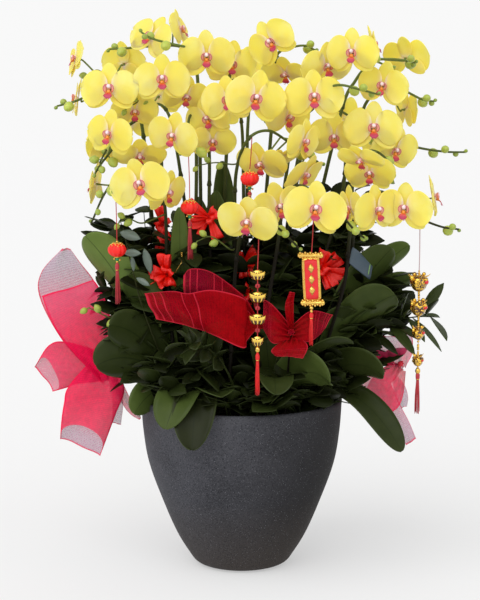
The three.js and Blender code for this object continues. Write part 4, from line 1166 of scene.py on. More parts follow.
def wing_material():
    """The lip's side lobes: white and yellow with maroon stripes and rims."""
    made, tree, shader = new_material("lip_wing", 0.4, Subsurface_Weight=0.1, Subsurface_Scale=0.003)
    along, across = places_of(tree)
    lines = sums(tree, "GREATER_THAN", waves(tree, across, 25.0), 0.1)
    colour = tint(tree, ramp(tree, along, WING_SHADES), lines, 0.7, (0.5, 0.02, 0.08))
    rim = rising(tree, away_from(tree, across), 0.28, 0.42)
    colour = tint(tree, colour, rim, 0.85, (0.55, 0.03, 0.1))
    paint(tree, shader, colour, noise(tree, 900.0), strength=0.1)
    return made


def column_material():
    """The column: pink at its base, paler further out."""
    made, tree, shader = new_material("column", 0.35, Subsurface_Weight=0.25, Subsurface_Scale=0.003)
    along, _ = places_of(tree)
    colour = ramp(tree, sums(tree, "DIVIDE", along, 12.0), COLUMN_SHADES)
    paint(tree, shader, colour, noise(tree, 700.0), strength=0.08)
    return made


def callus_material():
    """The callus: orange with maroon dots."""
    made, tree, shader = new_material("callus", 0.35, Coat_Weight=0.3)
    dots = node(tree, "TexVoronoi", Vector=node(tree, "TexCoord").outputs["Object"], Scale=900.0)
    share = sums(tree, "LESS_THAN", dots.outputs["Distance"], 0.3)
    paint(tree, shader, blend(tree, share, (0.84, 0.3, 0.02), (0.5, 0.04, 0.02)))
    return made


def stem_material():
    """Stems: dark brown green low down, as painted shade among the leaves, fresher green higher up, with
    fine flecks.
    """
    made, tree, shader = new_material("stem", 0.5, Specular_IOR_Level=0.1)
    flecks = noise(tree, 420.0, 4.0)
    dark = blend(tree, flecks, (0.005, 0.004, 0.003), (0.015, 0.012, 0.007))
    fresh = blend(tree, flecks, (0.11, 0.16, 0.03), (0.24, 0.3, 0.07))
    paint(tree, shader, blend(tree, tone_of(tree), dark, fresh), flecks, strength=0.25)
    return made


def bud_material():
    """Buds: young green that ripens to a yellow green as their tone rises."""
    made, tree, shader = new_material("bud", 0.4, Subsurface_Weight=0.15, Subsurface_Scale=0.004)
    cloud = noise(tree, 180.0)
    young = blend(tree, cloud, (0.12, 0.2, 0.025), (0.24, 0.34, 0.05))
    ripe = blend(tree, cloud, (0.36, 0.46, 0.05), (0.56, 0.6, 0.1))
    paint(tree, shader, blend(tree, tone_of(tree), young, ripe), cloud, strength=0.08)
    return made


def leaf_material(name, roughness, gloss, light):
    """Strap leaves: deep to fresh green, with a dark midrib, fine veins, a pale edge and a waxy gloss."""
    made, tree, shader = new_material(name, roughness, Specular_IOR_Level=gloss)
    along, across = places_of(tree)
    off = away_from(tree, across)
    cloud = noise(tree, 38.0, 4.0)
    lines = veins_of(tree, along, times(tree, across, 14.0), 1.0, 1.2, 1.0)
    # light scales the deep greens, the veins and the pale edge; below 1 it darkens the leaf as painted
    # shade.
    deep = blend(tree, cloud, *[[light * part for part in shade] for shade in DEEP_GREENS])
    fresh = blend(tree, cloud, (0.1, 0.165, 0.03), (0.19, 0.27, 0.06))
    colour = blend(tree, tone_of(tree), deep, fresh)
    colour = tint(tree, colour, lines, 0.07 * light, (0.05, 0.10, 0.03))
    colour = tint(tree, colour, sums(tree, "LESS_THAN", off, 0.014), 0.5, (0.008, 0.014, 0.004))
    colour = tint(tree, colour, rising(tree, off, 0.46, 0.5), 0.25 * light, (0.1, 0.14, 0.04))
    paint(tree, shader, colour, lines, strength=0.12, distance=0.0006)
    return made


def pot_material():
    """A cast pot: dark slate grey with a fine pale speckle, pits and faint casting clouds.

    Painted shade darkens it towards its right side, and a painted warm shade from the ground below warms it
    towards its foot."""
    made, tree, shader = new_material("pot_cast", 0.7, Specular_IOR_Level=0.16)
    space = node(tree, "TexCoord").outputs["Object"]
    split = node(tree, "SeparateXYZ", Vector=space)
    cloud = noise(tree, 7.0, 6.0, 0.6)
    grain = noise(tree, 340.0, 4.0, 0.7)
    # slant and aside mask the painted shade on the pot's right side.
    slant = sums(tree, "SUBTRACT", split.outputs["X"], times(tree, split.outputs["Z"], 0.5))
    aside = rising(tree, sums(tree, "ADD", slant, 0.25), 0.07, 0.31)
    pits = sums(tree, "LESS_THAN", noise(tree, 520.0, 2.0), 0.4)
    specks = node(tree, "TexVoronoi", Vector=space, Scale=330.0).outputs["Distance"]
    pale = times(tree, sums(tree, "LESS_THAN", specks, 0.14), sums(tree, "GREATER_THAN", grain, 0.5))
    colour = ramp(tree, cloud, SLATE_SHADES)
    colour = tint(tree, colour, rising(tree, grain, 0.42, 0.62), 0.5, (0.1, 0.1, 0.115))
    # Painted shade towards the right side, then painted warm shade from the ground below towards the foot.
    colour = tint(tree, colour, aside, 0.96, (0.009, 0.008, 0.008))
    colour = tint(tree, colour, falling(tree, split.outputs["Z"], 0.0, 0.14), 0.6, (0.062, 0.05, 0.042))
    colour = tint(tree, colour, pits, 0.6, (0.006, 0.006, 0.01))
    colour = tint(tree, colour, pale, 0.55, (0.34, 0.35, 0.38))
    paint(tree, shader, colour, sums(tree, "ADD", grain, cloud), strength=0.35, distance=0.0008)
    return made


def bark_material():
    """Bark, with moss where its tone is high."""
    made, tree, shader = new_material("bark_chips", 0.9)
    cloud = noise(tree, 90.0, 5.0, 0.65)
    dark, mossy = ramp(tree, cloud, BARK_SHADES), ramp(tree, cloud, MOSS_SHADES)
    paint(tree, shader, blend(tree, tone_of(tree), dark, mossy), cloud, strength=0.8, distance=0.002)
    return made


def edge_mask(tree, along, across, creases):
    """A mask of a ribbon's side edges, its far end and its creases."""
    sides = rising(tree, away_from(tree, across), 0.47, 0.485)
    edge = sums(tree, "MAXIMUM", sides, rising(tree, along, 0.975, 0.99))
    for share in creases:
        edge = sums(tree, "MAXIMUM", edge, sums(tree, "LESS_THAN", away_from(tree, along, share), 0.004))
    return edge


def mesh_material(name, near, far, cover, line, creases=()):
    """Sheer ribbon mesh: fine crossed threads between edge lines, with creases, greyer as its tone rises."""
    made, tree, shader = new_material(name, 0.7, Specular_IOR_Level=0.05)
    along, across = places_of(tree)
    weave = times(tree, sums(tree, "ADD", *(waves(tree, place, 320.0) for place in (along, across))), 0.05)
    cloud = times(tree, sums(tree, "SUBTRACT", noise(tree, 420.0), 0.5), 0.4)
    edge = edge_mask(tree, along, across, creases)
    threads = sums(tree, "ADD", sums(tree, "ADD", cover, weave), cloud)
    threads = sums(tree, "SUBTRACT", threads, times(tree, tone_of(tree), 0.2))
    red = blend(tree, noise(tree, 150.0), *[[light * shade for shade in near] for light in (0.72, 1.45)])
    colour = tint(tree, blend(tree, tone_of(tree), red, far), edge, 0.8, line)
    alpha = sums(tree, "ADD", threads, times(tree, edge, 0.25))
    paint(tree, shader, colour, weave, strength=0.2, Alpha=alpha)
    return made


def plain_material(name, roughness, first, second, scale, strength=0.2, **values):
    """One colour that clouds into another, with a little bump at the same scale."""
    made, tree, shader = new_material(name, roughness, **values)
    cloud = noise(tree, scale, 4.0)
    paint(tree, shader, blend(tree, cloud, first, second), cloud, strength=strength)
    return made


def thread_material(name, roughness, first, second, pitch, **values):
    """Twisted thread or satin: fine slanting lines over a clouded colour."""
    made, tree, shader = new_material(name, roughness, **values)
    lines = waves(tree, sums(tree, "ADD", *places_of(tree)), FULL_TURN / pitch)
    share = sums(tree, "ADD", times(tree, lines, 0.18), noise(tree, 140.0))
    paint(tree, shader, blend(tree, share, first, second), lines, strength=0.25, distance=0.0002)
    return made


PETAL = petal_material()
LIP = lip_material()
WING = wing_material()
COLUMN = column_material()
CALLUS = callus_material()
STEM = stem_material()
BUD = bud_material()
LEAF = leaf_material("leaf", 0.3, 0.1, 1.0)
# A copy of the leaf with its deep greens darkened as painted shade, for the leaves deep in the foliage.
PAINTED_SHADE_LEAF = leaf_material("leaf_painted_shade", 0.4, 0.06, 0.45)
LANCE_LEAF = plain_material("leaf_lance", 0.3, (0.07, 0.1, 0.075), (0.17, 0.22, 0.18), 60.0)
POT = pot_material()
BARK = bark_material()
MESH = mesh_material("ribbon_mesh", (0.78, 0.004, 0.06), (0.27, 0.08, 0.19), 0.8, (0.78, 0.004, 0.06))
DEEP_MESH = mesh_material(
    "ribbon_mesh_deep",
    (0.25, 0.0, 0.002),
    (0.17, 0.001, 0.016),
    0.9,
    (0.5, 0.02, 0.04),
    (0.65, 0.73, 0.88, 0.94),
)
WIRE = thread_material("ribbon_edge", 0.5, (0.5, 0.002, 0.016), (0.78, 0.01, 0.04), 1.2)
SATIN = thread_material("satin", 0.34, (0.82, 0.004, 0.001), (0.98, 0.012, 0.004), 0.8)
SILK = thread_material("silk", 0.5, (0.5, 0.003, 0.004), (0.8, 0.01, 0.008), 1.0)
GOLD = plain_material("gold", 0.22, (0.6, 0.32, 0.04), (0.95, 0.66, 0.18), 420.0, 0.45, Metallic=1.0)
GREEN_BEAD = plain_material("green_bead", 0.15, (0.0, 0.16, 0.06), (0.02, 0.3, 0.1), 200.0, 0.05)
RED_BEAD = plain_material(
    "red_bead", 0.12, (0.45, 0.0, 0.01), (0.8, 0.01, 0.02), 200.0, 0.05, Coat_Weight=0.6
)
CARD = plain_material("card", 0.5, (0.045, 0.075, 0.105), (0.075, 0.11, 0.15), 60.0, 0.05)
CARD_LINE = plain_material("card_line", 0.5, (0.2, 0.42, 0.1), (0.28, 0.5, 0.14), 60.0, 0.05)
FLOWER_PARTS = (PETAL, LIP, WING, COLUMN, CALLUS, STEM, BUD)
PETALS, LIPS, WINGS, COLUMNS, CALLI, STEMS, BUDS = range(7)


# The camera, at the photograph's angle, and the stage.
def make_camera():
    lens = bpy.data.cameras.new("camera")
    lens.lens = CAMERA_LENS
    camera = bpy.data.objects.new("camera", lens)
    camera.location = (CAMERA_ASIDE, EYE[1] * MM, EYE[2] * MM)
    camera.rotation_euler = (math.pi / 2 - SIGHT_TILT, 0, 0)
    bpy.context.scene.collection.objects.link(camera)
    bpy.context.scene.camera = camera
    bpy.context.scene.view_settings.view_transform = "Standard"


def make_light(name, place, power, spread):
    """A soft, far light from the side of a place, that lights the floor as evenly as the object."""
    lamp = bpy.data.lights.new(name, "SUN")
    lamp.angle = spread
    lamp.energy = power
    made = bpy.data.objects.new(name, lamp)
    made.location = place
    made.rotation_euler = (-Vector(place)).to_track_quat("-Z", "Y").to_euler()
    bpy.context.scene.collection.objects.link(made)


def make_floor():
    bpy.ops.mesh.primitive_circle_add(vertices=96, radius=FLOOR_RADIUS, fill_type="NGON")
    floor = bpy.context.object
    floor.name = "floor"
    made, _, _ = new_material(
        "floor_pale",
        0.9,
        Specular_IOR_Level=0.0,
        Base_Color=(*[FLOOR_SHADE] * 3, 1),
        Emission_Color=(1, 1, 1, 1),
        Emission_Strength=FLOOR_GLOW,
    )
    floor.data.materials.append(made)


def make_stage():
    """A wide pale floor under a near-white sky, a soft key from the upper left front and a softer fill."""
    make_floor()
    world = bpy.data.worlds.new("sky")
    world.use_nodes = True
    tree = world.node_tree
    sky = tree.nodes["Background"]
    seen = tree.nodes.new("ShaderNodeLightPath").outputs["Is Camera Ray"]
    shade = sums(tree, "ADD", SKY_LIGHT, times(tree, seen, SKY_SHADE - SKY_LIGHT))
    tree.links.new(shade, sky.inputs["Color"])
    bpy.context.scene.world = world
    make_light("key", KEY_PLACE, KEY_POWER, KEY_SPREAD)
    make_light("fill", FILL_PLACE, FILL_POWER, FILL_SPREAD)


make_camera()
make_stage()


# Stems.
def stem_radius(t):
    return STEM_FOOT_RADIUS + (STEM_TIP_RADIUS - STEM_FOOT_RADIUS) * t


def stem_route(spike):
    """A spike's smooth stem above its collar: its foot, a rise and the places where it arches."""
    spots = [sighted(*place) for place in spike["arch"]]
    collar = np.array((*spike["foot"], COLLAR), float)
    rise = collar + (spots[0] - collar) * (RISE_LEAN, RISE_LEAN, RISE_SHARE)
    return smooth_route([collar, rise, *spots], STEM_STEPS)


ROUTES = {name: stem_route(spike) for name, spike in SPIKES.items()}


def nearest_on(route, target, start):
    """The share of a route at which it comes nearest to a target, past a starting share."""
    first = int(start * (len(route) - 1))
    reach = np.linalg.norm(route[first:] - target, axis=1)
    return (first + int(np.argmin(reach))) / (len(route) - 1)


# The cords: each charm's thread hangs from its stem and runs on down through what it carries.
def middle_of(node):
    low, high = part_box(node)
    return (np.array(low) + np.array(high)) / 2 / MM


def top_of(node):
    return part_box(node)[1][2] / MM


def bottom_of(node):
    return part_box(node)[0][2] / MM


def thread_top(stem, spot):
    """Where a thread hitches under its stem: the stem's last place over the charm."""
    route = ROUTES[stem]
    near = np.abs(route[:, 0] - spot[0]) + 0.3 * np.abs(route[:, 1] - spot[1])
    level = (route[:, 2] > spot[2]) & (near < near.min() + 4)
    i = int(np.nonzero(level)[0][-1])
    return route[i], stem_radius(i / (len(route) - 1))


def thread_curve(name, route, material):
    """A thread's round curve along a route in metres, riding on the body."""
    line = bpy.data.curves.new(name, "CURVE")
    line.dimensions = "3D"
    line.bevel_depth = THREAD_RADIUS * MM
    line.bevel_resolution = 2
    spline = line.splines.new("POLY")
    spline.points.add(len(route) - 1)
    for point, place in zip(spline.points, route):
        point.co = (*place, 1)
    line.materials.append(material)
    made = bpy.data.objects.new(name, line)
    bpy.context.scene.collection.objects.link(made)
    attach(made, BODY)
    return made


def make_thread(name, stem, charm, end, material):
    """One thread, from its hitch on the stem straight down to the end of what it carries.

    It gives the thread, its start and its length. The thread stands for the charm's thread in the CAD."""
    spot = middle_of(charm)
    spot[2] = top_of(charm)
    hitch, radius = thread_top(stem, spot)
    start = hitch - UP * (radius - 0.4)
    places = [start, start * 0.35 + spot * 0.65, spot]
    places[1][0] += 0.4
    places += [np.array((spot[0], spot[1], z)) for z in spaced(top_of(charm) - 10, end, 6)]
    route = smooth_route(places, 5) * MM
    made = thread_curve(name, route, material)
    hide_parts(charm + "_thread")
    length = float(np.linalg.norm(np.diff(route, axis=0), axis=1).sum())
    return made, tuple(float(x) for x in route[0]), length


# Charms. Their parts hang round one upright line, (across, deep), at heights down it.
def ball(sheaf, centre, radius, slot, tone=0.5, tall=1.0, sides=16, ribs=0, rib_depth=0.0):
    turns = spaced(0, math.pi, BALL_RINGS)
    profile = [(radius * math.sin(a), -radius * tall * math.cos(a)) for a in turns]
    sheaf.turned(profile, centre, sides, slot, tone, ribs, rib_depth)


def disc(sheaf, centre, radius, half, slot, sides=20):
    """A level disc with bevelled edges."""
    flat, step = radius * DISC_FLAT, half * DISC_STEP
    profile = ((0, -half), (flat, -half), (radius, -step), (radius, step), (flat, half), (0, half))
    sheaf.turned(profile, centre, sides, slot)


def tassel(sheaf, spot, top, bottom, silk, gold, dice, strands=22, spread=1.0):
    """A tassel: a bound head, a gold band and a skirt of strands that splay a little towards their ends."""
    x, y = spot
    length = top - bottom
    neck = top - TASSEL_NECK * length
    head = ((0, 0), (1.6, -0.4), *((radius, -share * length) for radius, share in TASSEL_HEAD))
    sheaf.turned(head, (x, y, top), 14, silk)
    disc(sheaf, (x, y, neck + 0.02 * length), 3.1, 0.9, gold, 14)
    for turn in turns_of(strands):
        turn += dice.uniform(-0.2, 0.2)
        out = dice.uniform(1.0, 3.4) * spread
        end = bottom + dice.uniform(0, 0.09) * length
        way = around(turn)
        bound = np.array((x, y, neck)) + way * 1.7
        waist = np.array((x, y, neck - 0.35 * length)) + way * (1.5 + 0.45 * out)
        foot = np.array((x, y, end)) + way * out + (dice.uniform(-0.8, 0.8), dice.uniform(-0.8, 0.8), 0)
        sheaf.tube(smooth_route([bound, waist, foot], 3), spaced(*STRAND_RADII, 7), 4, silk, dice.random())


def lantern_crown(sheaf, x, y, top, dice):
    """A lantern's ribbed ball, with a gold bead, a disc and small tongues over it and gold flecks on it."""
    ball(sheaf, (x, y, top - 2), 1.9, 1, sides=12)
    disc(sheaf, (x, y, top - 4.4), 4.2, 1.4, 1)
    ball(sheaf, (x, y, top - LANTERN_DROP), LANTERN_RADIUS, 0, 0.5, LANTERN_SQUASH, 60, 10, 0.05)
    for turn in turns_of(9, 0.2):
        way = around(turn)
        tongue = [np.array((x, y, top - 4.6)) + way * 3.4, np.array((x, y, top - 4.2)) + way * 7.4]
        tongue.append(np.array((x, y, top - 7.8 - dice.uniform(0, 1.5))) + way * 9.6)
        sheaf.tube(smooth_route(tongue, 3), spaced(1.7, 0.5, 7), 6, 1, 0.5, 0.6)
    for k in range(LANTERN_FLECKS):
        lean = 0.42 + 0.024 * k
        fleck = np.array((x, y, top - LANTERN_DROP + 12.4 * math.cos(lean)))
        ball(sheaf, fleck + around(GOLDEN_TURN * k) * 14.6 * math.sin(lean), 1.25, 1, sides=8)


def lantern_charm(name, node, drop, dice):
    """A plump red silk ball under a gold collar, a green bead and gold ones below it, and a long tassel."""
    sheaf = Sheaf()
    x, y, _ = middle_of(node)
    top, low = top_of(node), bottom_of(node) - drop
    lantern_crown(sheaf, x, y, top, dice)
    disc(sheaf, (x, y, top - 27.4), 5.0, 1.2, 1)
    ball(sheaf, (x, y, top - 31), 3.2, 2, sides=12)
    for side in (-1, 1):
        ball(sheaf, (x + side * 4.6, y - 1, top - 31.5 - side), 1.7, 1, sides=10)
    ball(sheaf, (x, y, top - 35.5), 2.0, 1, sides=12)
    tassel(sheaf, (x, y), top - 36.5, low, 3, 1, dice, 26, 1.5)
    return sheaf.piece(name, (LANTERN_SILK, GOLD, GREEN_BEAD, DULL_SILK), "lantern", node)


def boat(sheaf, centre, width, tall, slot):
    """A boat-shaped ingot: a hull with upturned ends round a domed middle."""
    rings, places = [], []
    last = len(BOAT_RINGS) - 1
    for i, (level, wide) in enumerate(BOAT_RINGS):
        rim = max(0.0, 1 - abs(level - 0.16) / 0.5) * (wide > 0.5)
        for k, turn in enumerate(turns_of(BOAT_SIDES)):
            lift = 0.16 * tall * rim * math.cos(turn) ** 2
            side = width / 2 * wide * around(turn, BOAT_DEPTH)
            rings.append(centre + side + UP * (tall * level * 0.84 + lift))
            places.append((k / BOAT_SIDES, i / last))
    faces = grid_faces(len(BOAT_RINGS), BOAT_SIDES, True)
    faces += [tuple(reversed(range(BOAT_SIDES))), tuple(last * BOAT_SIDES + k for k in range(BOAT_SIDES))]
    sheaf.add(rings, places, faces, slot, 0.5)


def thread_knot(sheaf, centre, radius, slot):
    """A knot between two charms: three crossed turns of thread."""
    for turn in (0.0, 1.05, 2.1):
        over = around(turn)
        ways = [over * math.cos(a) + UP * 0.9 * math.sin(a) for a in spaced(0, 2 * math.pi, 13)]
        sheaf.tube(np.array(centre) + radius * np.array(ways), 1.1, 6, slot)


def ingot_string(name, node, tassel_node, ingots, dice, crowned=False):
    """A string of gold ingots with knots between them, or of crowned balls with beads between them."""
    sheaf = Sheaf()
    x, y, _ = middle_of(node)
    spots = [(sighted(0, up, y)[2], width, tall) for up, width, tall in ingots]
    for z, width, tall in spots:
        if crowned:
            crown_charm(sheaf, (x, y, z), width, tall, dice)
        else:
            boat(sheaf, (x, y, z), width, tall, 0)
    for (upper, _, upper_tall), (lower, _, lower_tall) in zip(spots, spots[1:]):
        above, below = upper - upper_tall / 2, lower + lower_tall / 2
        link = np.array((x, y, (above + below) / 2))
        if crowned:
            for k in (-1, 0, 1):
                ball(sheaf, link + UP * k * 3.4, 2.1, 0, 0.7, sides=10)
        else:
            thread_knot(sheaf, link, min(3.2, max(1.6, (above - below) / 3)), 1)
    ball(sheaf, (x, y, spots[-1][0] - spots[-1][2] / 2 - 4), 4.4, 2, tall=1.2)
    made = sheaf.piece(name, (DARK_GOLD if crowned else CAGE_GOLD, DULL_SILK, GOLD, RED_BEAD), "gold", node)
    skirt = Sheaf()
    size = 1.5 if crowned else 1.0
    tassel(skirt, (x, y), top_of(tassel_node), bottom_of(tassel_node), 0, 1, dice, 26, size)
    end = skirt.piece(name + "_tassel", (DULL_SILK if crowned else SILK, GOLD), "silk", tassel_node)
    return made, end


def crown_charm(sheaf, centre, width, tall, dice):
    """A lumpy dark ball that gold knobs and points crown, with red beads at its side."""
    centre = np.array(centre)
    core = 0.36 * min(width, tall)
    reach = width / 2 - 1
    ball(sheaf, centre - UP * tall * 0.06, core, 0, 0.8, 1.1, 24, 6, 0.05)
    for k in range(CROWN_KNOBS):
        rise = 0.9 - 1.5 * k / (CROWN_KNOBS - 1)
        out = around(GOLDEN_TURN * k) * core * math.cos(rise)
        spot = centre + out + UP * (tall * 0.04 + 1.15 * core * math.sin(rise))
        ball(sheaf, spot, core * dice.uniform(0.24, 0.4), 0, dice.uniform(0.3, 1.0), sides=10)
    head = centre + UP * tall * 0.22
    for turn in turns_of(6, 0.4):
        way = around(turn, 0.6)
        point = [head + way * core * 0.5, head + way * reach * 0.8 + UP * 2, head + way * reach + UP * 5]
        sheaf.tube(smooth_route(point, 3), spaced(2.2, 0.5, 7), 6, 2, 0.5, 0.5)
    for turn in (-0.5, 2.4):
        ball(sheaf, centre + around(turn) * core + UP * tall * 0.02, core * 0.32, 3, sides=12)
    for k in range(3):
        ball(sheaf, centre + UP * tall * (0.3 + 0.1 * k), 2.3 - 0.3 * k, 2, sides=10)
    ball(sheaf, centre - UP * tall * 0.46, 2.0, 2, sides=10)


def roller(sheaf, centre, length, slot):
    """A level roller with turned end knobs and a row of beads over and under it."""
    half = length / 2
    shape = [(step - half, radius) for step, radius in ROLLER_END]
    shape += [(0.0, 3.2), *((-a, r) for a, r in reversed(shape))]
    route = [np.array(centre) + (a, 0, 0) for a, _ in shape]
    sheaf.tube(route, [r for _, r in shape], 18, slot)
    for k in range(-4, 5):
        spot = np.array(centre) + (k * length / 10, -1.5, 3.4 + 0.8 * math.cos(k * math.pi))
        ball(sheaf, spot, 2.1, slot, sides=10)
        ball(sheaf, spot - (0, 0, 6.8), 1.8, slot, sides=10)


def plate(sheaf, centre, across, upward, half_width, half_height, thick, slot, corner=8.0):
    """A flat plate with rounded corners, spanned by two unit ways."""
    centre, across, upward = np.array(centre), np.array(across), np.array(upward)
    rows, columns = 9, 9
    grid = np.zeros((rows, columns, 3))
    for i, b in enumerate(spaced(-1, 1, rows)):
        for j, a in enumerate(spaced(-1, 1, columns)):
            pull = 1 - max(0.0, abs(a * b) - 0.55) * corner / 100
            grid[i, j] = centre + across * a * half_width * pull + upward * b * half_height * pull
    places = np.stack(np.meshgrid(spaced(0, 1, columns), spaced(0, 1, rows)), axis=2)
    sheaf.slab(grid, places, slot, thick)


def diamond(sheaf, spot, across, upward, slot):
    """A small flat diamond, spanned by two ways."""
    right, top = across * 5.2, upward * 8
    corners = np.array([[spot + top, spot + right], [spot - right, spot - top]])
    sheaf.slab(corners, np.zeros((2, 2, 2)), slot, 0.8)


def scroll_charm(name, node):
    """A hanging scroll: a roller at each end, a gold frame, and a red panel with a column of diamonds."""
    sheaf = Sheaf()
    x, y, _ = middle_of(node)
    low, high = bottom_of(node), top_of(node)
    across = np.array((math.cos(SCROLL_LEAN), 0, math.sin(SCROLL_LEAN)))
    upward = np.array((-math.sin(SCROLL_LEAN), 0, math.cos(SCROLL_LEAN)))
    middle = np.array((x, y, (low + high) / 2))
    reach = (high - low) / 2 - 4.5
    roller(sheaf, middle + upward * reach, 42, 0)
    roller(sheaf, middle - upward * reach, 40, 0)
    plate(sheaf, middle, across, upward, 14.5, reach - 1, 2.4, 0)
    plate(sheaf, middle - (0, 1.5, 0), across, upward, 10.5, reach - 6, 1.6, 1)
    for k in (-1, 0, 1):
        diamond(sheaf, middle - (0, 2.5, 0) + upward * k * reach * 0.46, across, upward, 0)
    for side in (-1, 1):
        for k in range(-2, 3):
            spot = middle - (0, 1.6, 0) + across * side * 12.6 + upward * k * reach * 0.4
            ball(sheaf, spot, 1.6, 0, sides=10)
    return sheaf.piece(name, (GOLD, PANEL), "gold", node)


def scroll_tassel(name, node, dice):
    sheaf = Sheaf()
    x, y, _ = middle_of(node)
    top = top_of(node)
    ball(sheaf, (x, y, top - 3.2), 3.4, 1, sides=14)
    ball(sheaf, (x, y, top - 8.8), 2.6, 1, sides=14)
    tassel(sheaf, (x, y), top - 10, bottom_of(node), 0, 1, dice, 22)
    return sheaf.piece(name, (SILK, GOLD), "silk", node)


def make_charms():
    dice = random.Random(11)
    for side, (stem, drop) in LANTERN_STEMS.items():
        lantern = "lantern_" + side
        thread = make_thread("cord_" + side, stem, lantern, bottom_of(lantern) + 24, THREAD)
        lantern_charm("charm_lantern_" + side, lantern, drop, dice)
    for string, (stem, ingots) in STRINGS.items():
        crowned = string == "ingots_right"
        end = top_of(string + "_tassel") - 18
        thread = make_thread("cord_" + string, stem, string, end, PALE_THREAD if crowned else THREAD)
        charm = ingot_string("charm_" + string, string, string + "_tassel", ingots, dice, crowned)
    thread = make_thread("cord_scroll", "front_middle", "scroll", top_of("scroll_tassel") - 22, THREAD)
    charm = scroll_charm("charm_scroll", "scroll")
    scroll_tassel("charm_scroll_tassel", "scroll_tassel", dice)


def dark_gold_material():
    """Old gilt: bright gold on the knobs, dark red-brown lacquer in between."""
    made, tree, shader = new_material("gold_dark", 0.2, Coat_Weight=0.5, Coat_Roughness=0.1)
    cloud = noise(tree, 330.0, 3.0)
    share = sums(tree, "SUBTRACT", sums(tree, "ADD", cloud, 0.35), times(tree, tone_of(tree), 0.5))
    worn = rising(tree, share, 0.38, 0.5)
    colour = blend(tree, worn, (0.05, 0.006, 0.004), (0.84, 0.52, 0.06))
    paint(tree, shader, colour, cloud, strength=0.4, Metallic=worn)
    return made


def cage_material():
    """Pierced gold: bands of narrow slots round an ingot's belly and under its dome, painted dark as the
    shade in their openings.
    """
    made, tree, shader = new_material("gold_pierced", 0.24)
    round_it, height = places_of(tree)
    bars = falling(tree, waves(tree, round_it, FULL_TURN * 11), 0.35, 0.5)
    slot = times(tree, bars, ramp(tree, height, CAGE_BELTS))
    gold = blend(tree, noise(tree, 260.0), (0.85, 0.5, 0.05), (1.0, 0.78, 0.2))
    # The slots are painted dark and not metal, as the shade inside their openings.
    colour = blend(tree, slot, gold, (0.05, 0.008, 0.004))
    solid = sums(tree, "SUBTRACT", 1.0, slot)
    paint(tree, shader, colour, slot, strength=0.6, distance=0.0006, Metallic=solid)
    return made


CAGE_GOLD = cage_material()
DARK_GOLD = dark_gold_material()
LANTERN_SILK = thread_material("lantern_silk", 0.45, (0.8, 0.003, 0.001), (0.96, 0.01, 0.004), 1.4)
DULL_SILK = thread_material("dull_silk", 0.5, (0.3, 0.01, 0.02), (0.5, 0.03, 0.04), 1.0)
THREAD = plain_material("thread", 0.6, (0.34, 0.01, 0.01), (0.55, 0.03, 0.03), 900.0)
PALE_THREAD = plain_material("thread_pale", 0.6, (0.4, 0.26, 0.28), (0.58, 0.42, 0.44), 900.0)
PANEL = plain_material("panel", 0.4, (0.6, 0.006, 0.01), (0.82, 0.02, 0.02), 300.0)
make_charms()


# Blooms. A bloom's own places are (u to its right, v up, w towards the viewer), for a bloom of size 1.
def bloom_turn(yaw, pitch, roll):
    a, b, c = (math.radians(angle) for angle in (yaw, -pitch, roll))
    about_z = np.array(((math.cos(a), -math.sin(a), 0), (math.sin(a), math.cos(a), 0), (0, 0, 1)))
    about_x = np.array(((1, 0, 0), (0, math.cos(b), -math.sin(b)), (0, math.sin(b), math.cos(b))))
    about_y = np.array(((math.cos(c), 0, math.sin(c)), (0, 1, 0), (-math.sin(c), 0, math.cos(c))))
    return about_z @ about_x @ about_y


def petal_grid(base, turn, length, half, rows, columns, swell, shape):
    """A petal's places (u, v, w) and its texture places; it runs out from its base at an angle from level.

    swell says how early its two edges bulge; shape is (lift, cup, ripple, the ripple's phase, droop)."""
    lift, cup, ripple, phase, droop = shape
    s = (1 - np.cos(np.pi * np.linspace(0.07, 0.97, rows))) / 2
    x = np.sin(np.pi / 2 * np.linspace(-1, 1, columns))
    s, x = np.meshgrid(s, x, indexing="ij")
    upper, lower = (half * np.sin(np.pi * s**power) ** 0.5 for power in swell)
    wide = np.where(x * math.cos(turn) > 0, upper, lower)
    run, side = s * length, wide * x
    c, k = math.cos(turn), math.sin(turn)
    u = base[0] + run * c - side * k
    v = base[1] + run * k + side * c
    w = base[2] + lift * np.sin(np.pi * s) - droop * s**2
    w = w + cup * x**2 * np.sin(np.pi * s) + ripple * np.sin(5.0 * s + 3.5 * x + phase) * np.abs(x) * s
    return np.stack([u, v, w], axis=2), np.stack([s, x * 0.5 + 0.5], axis=2)


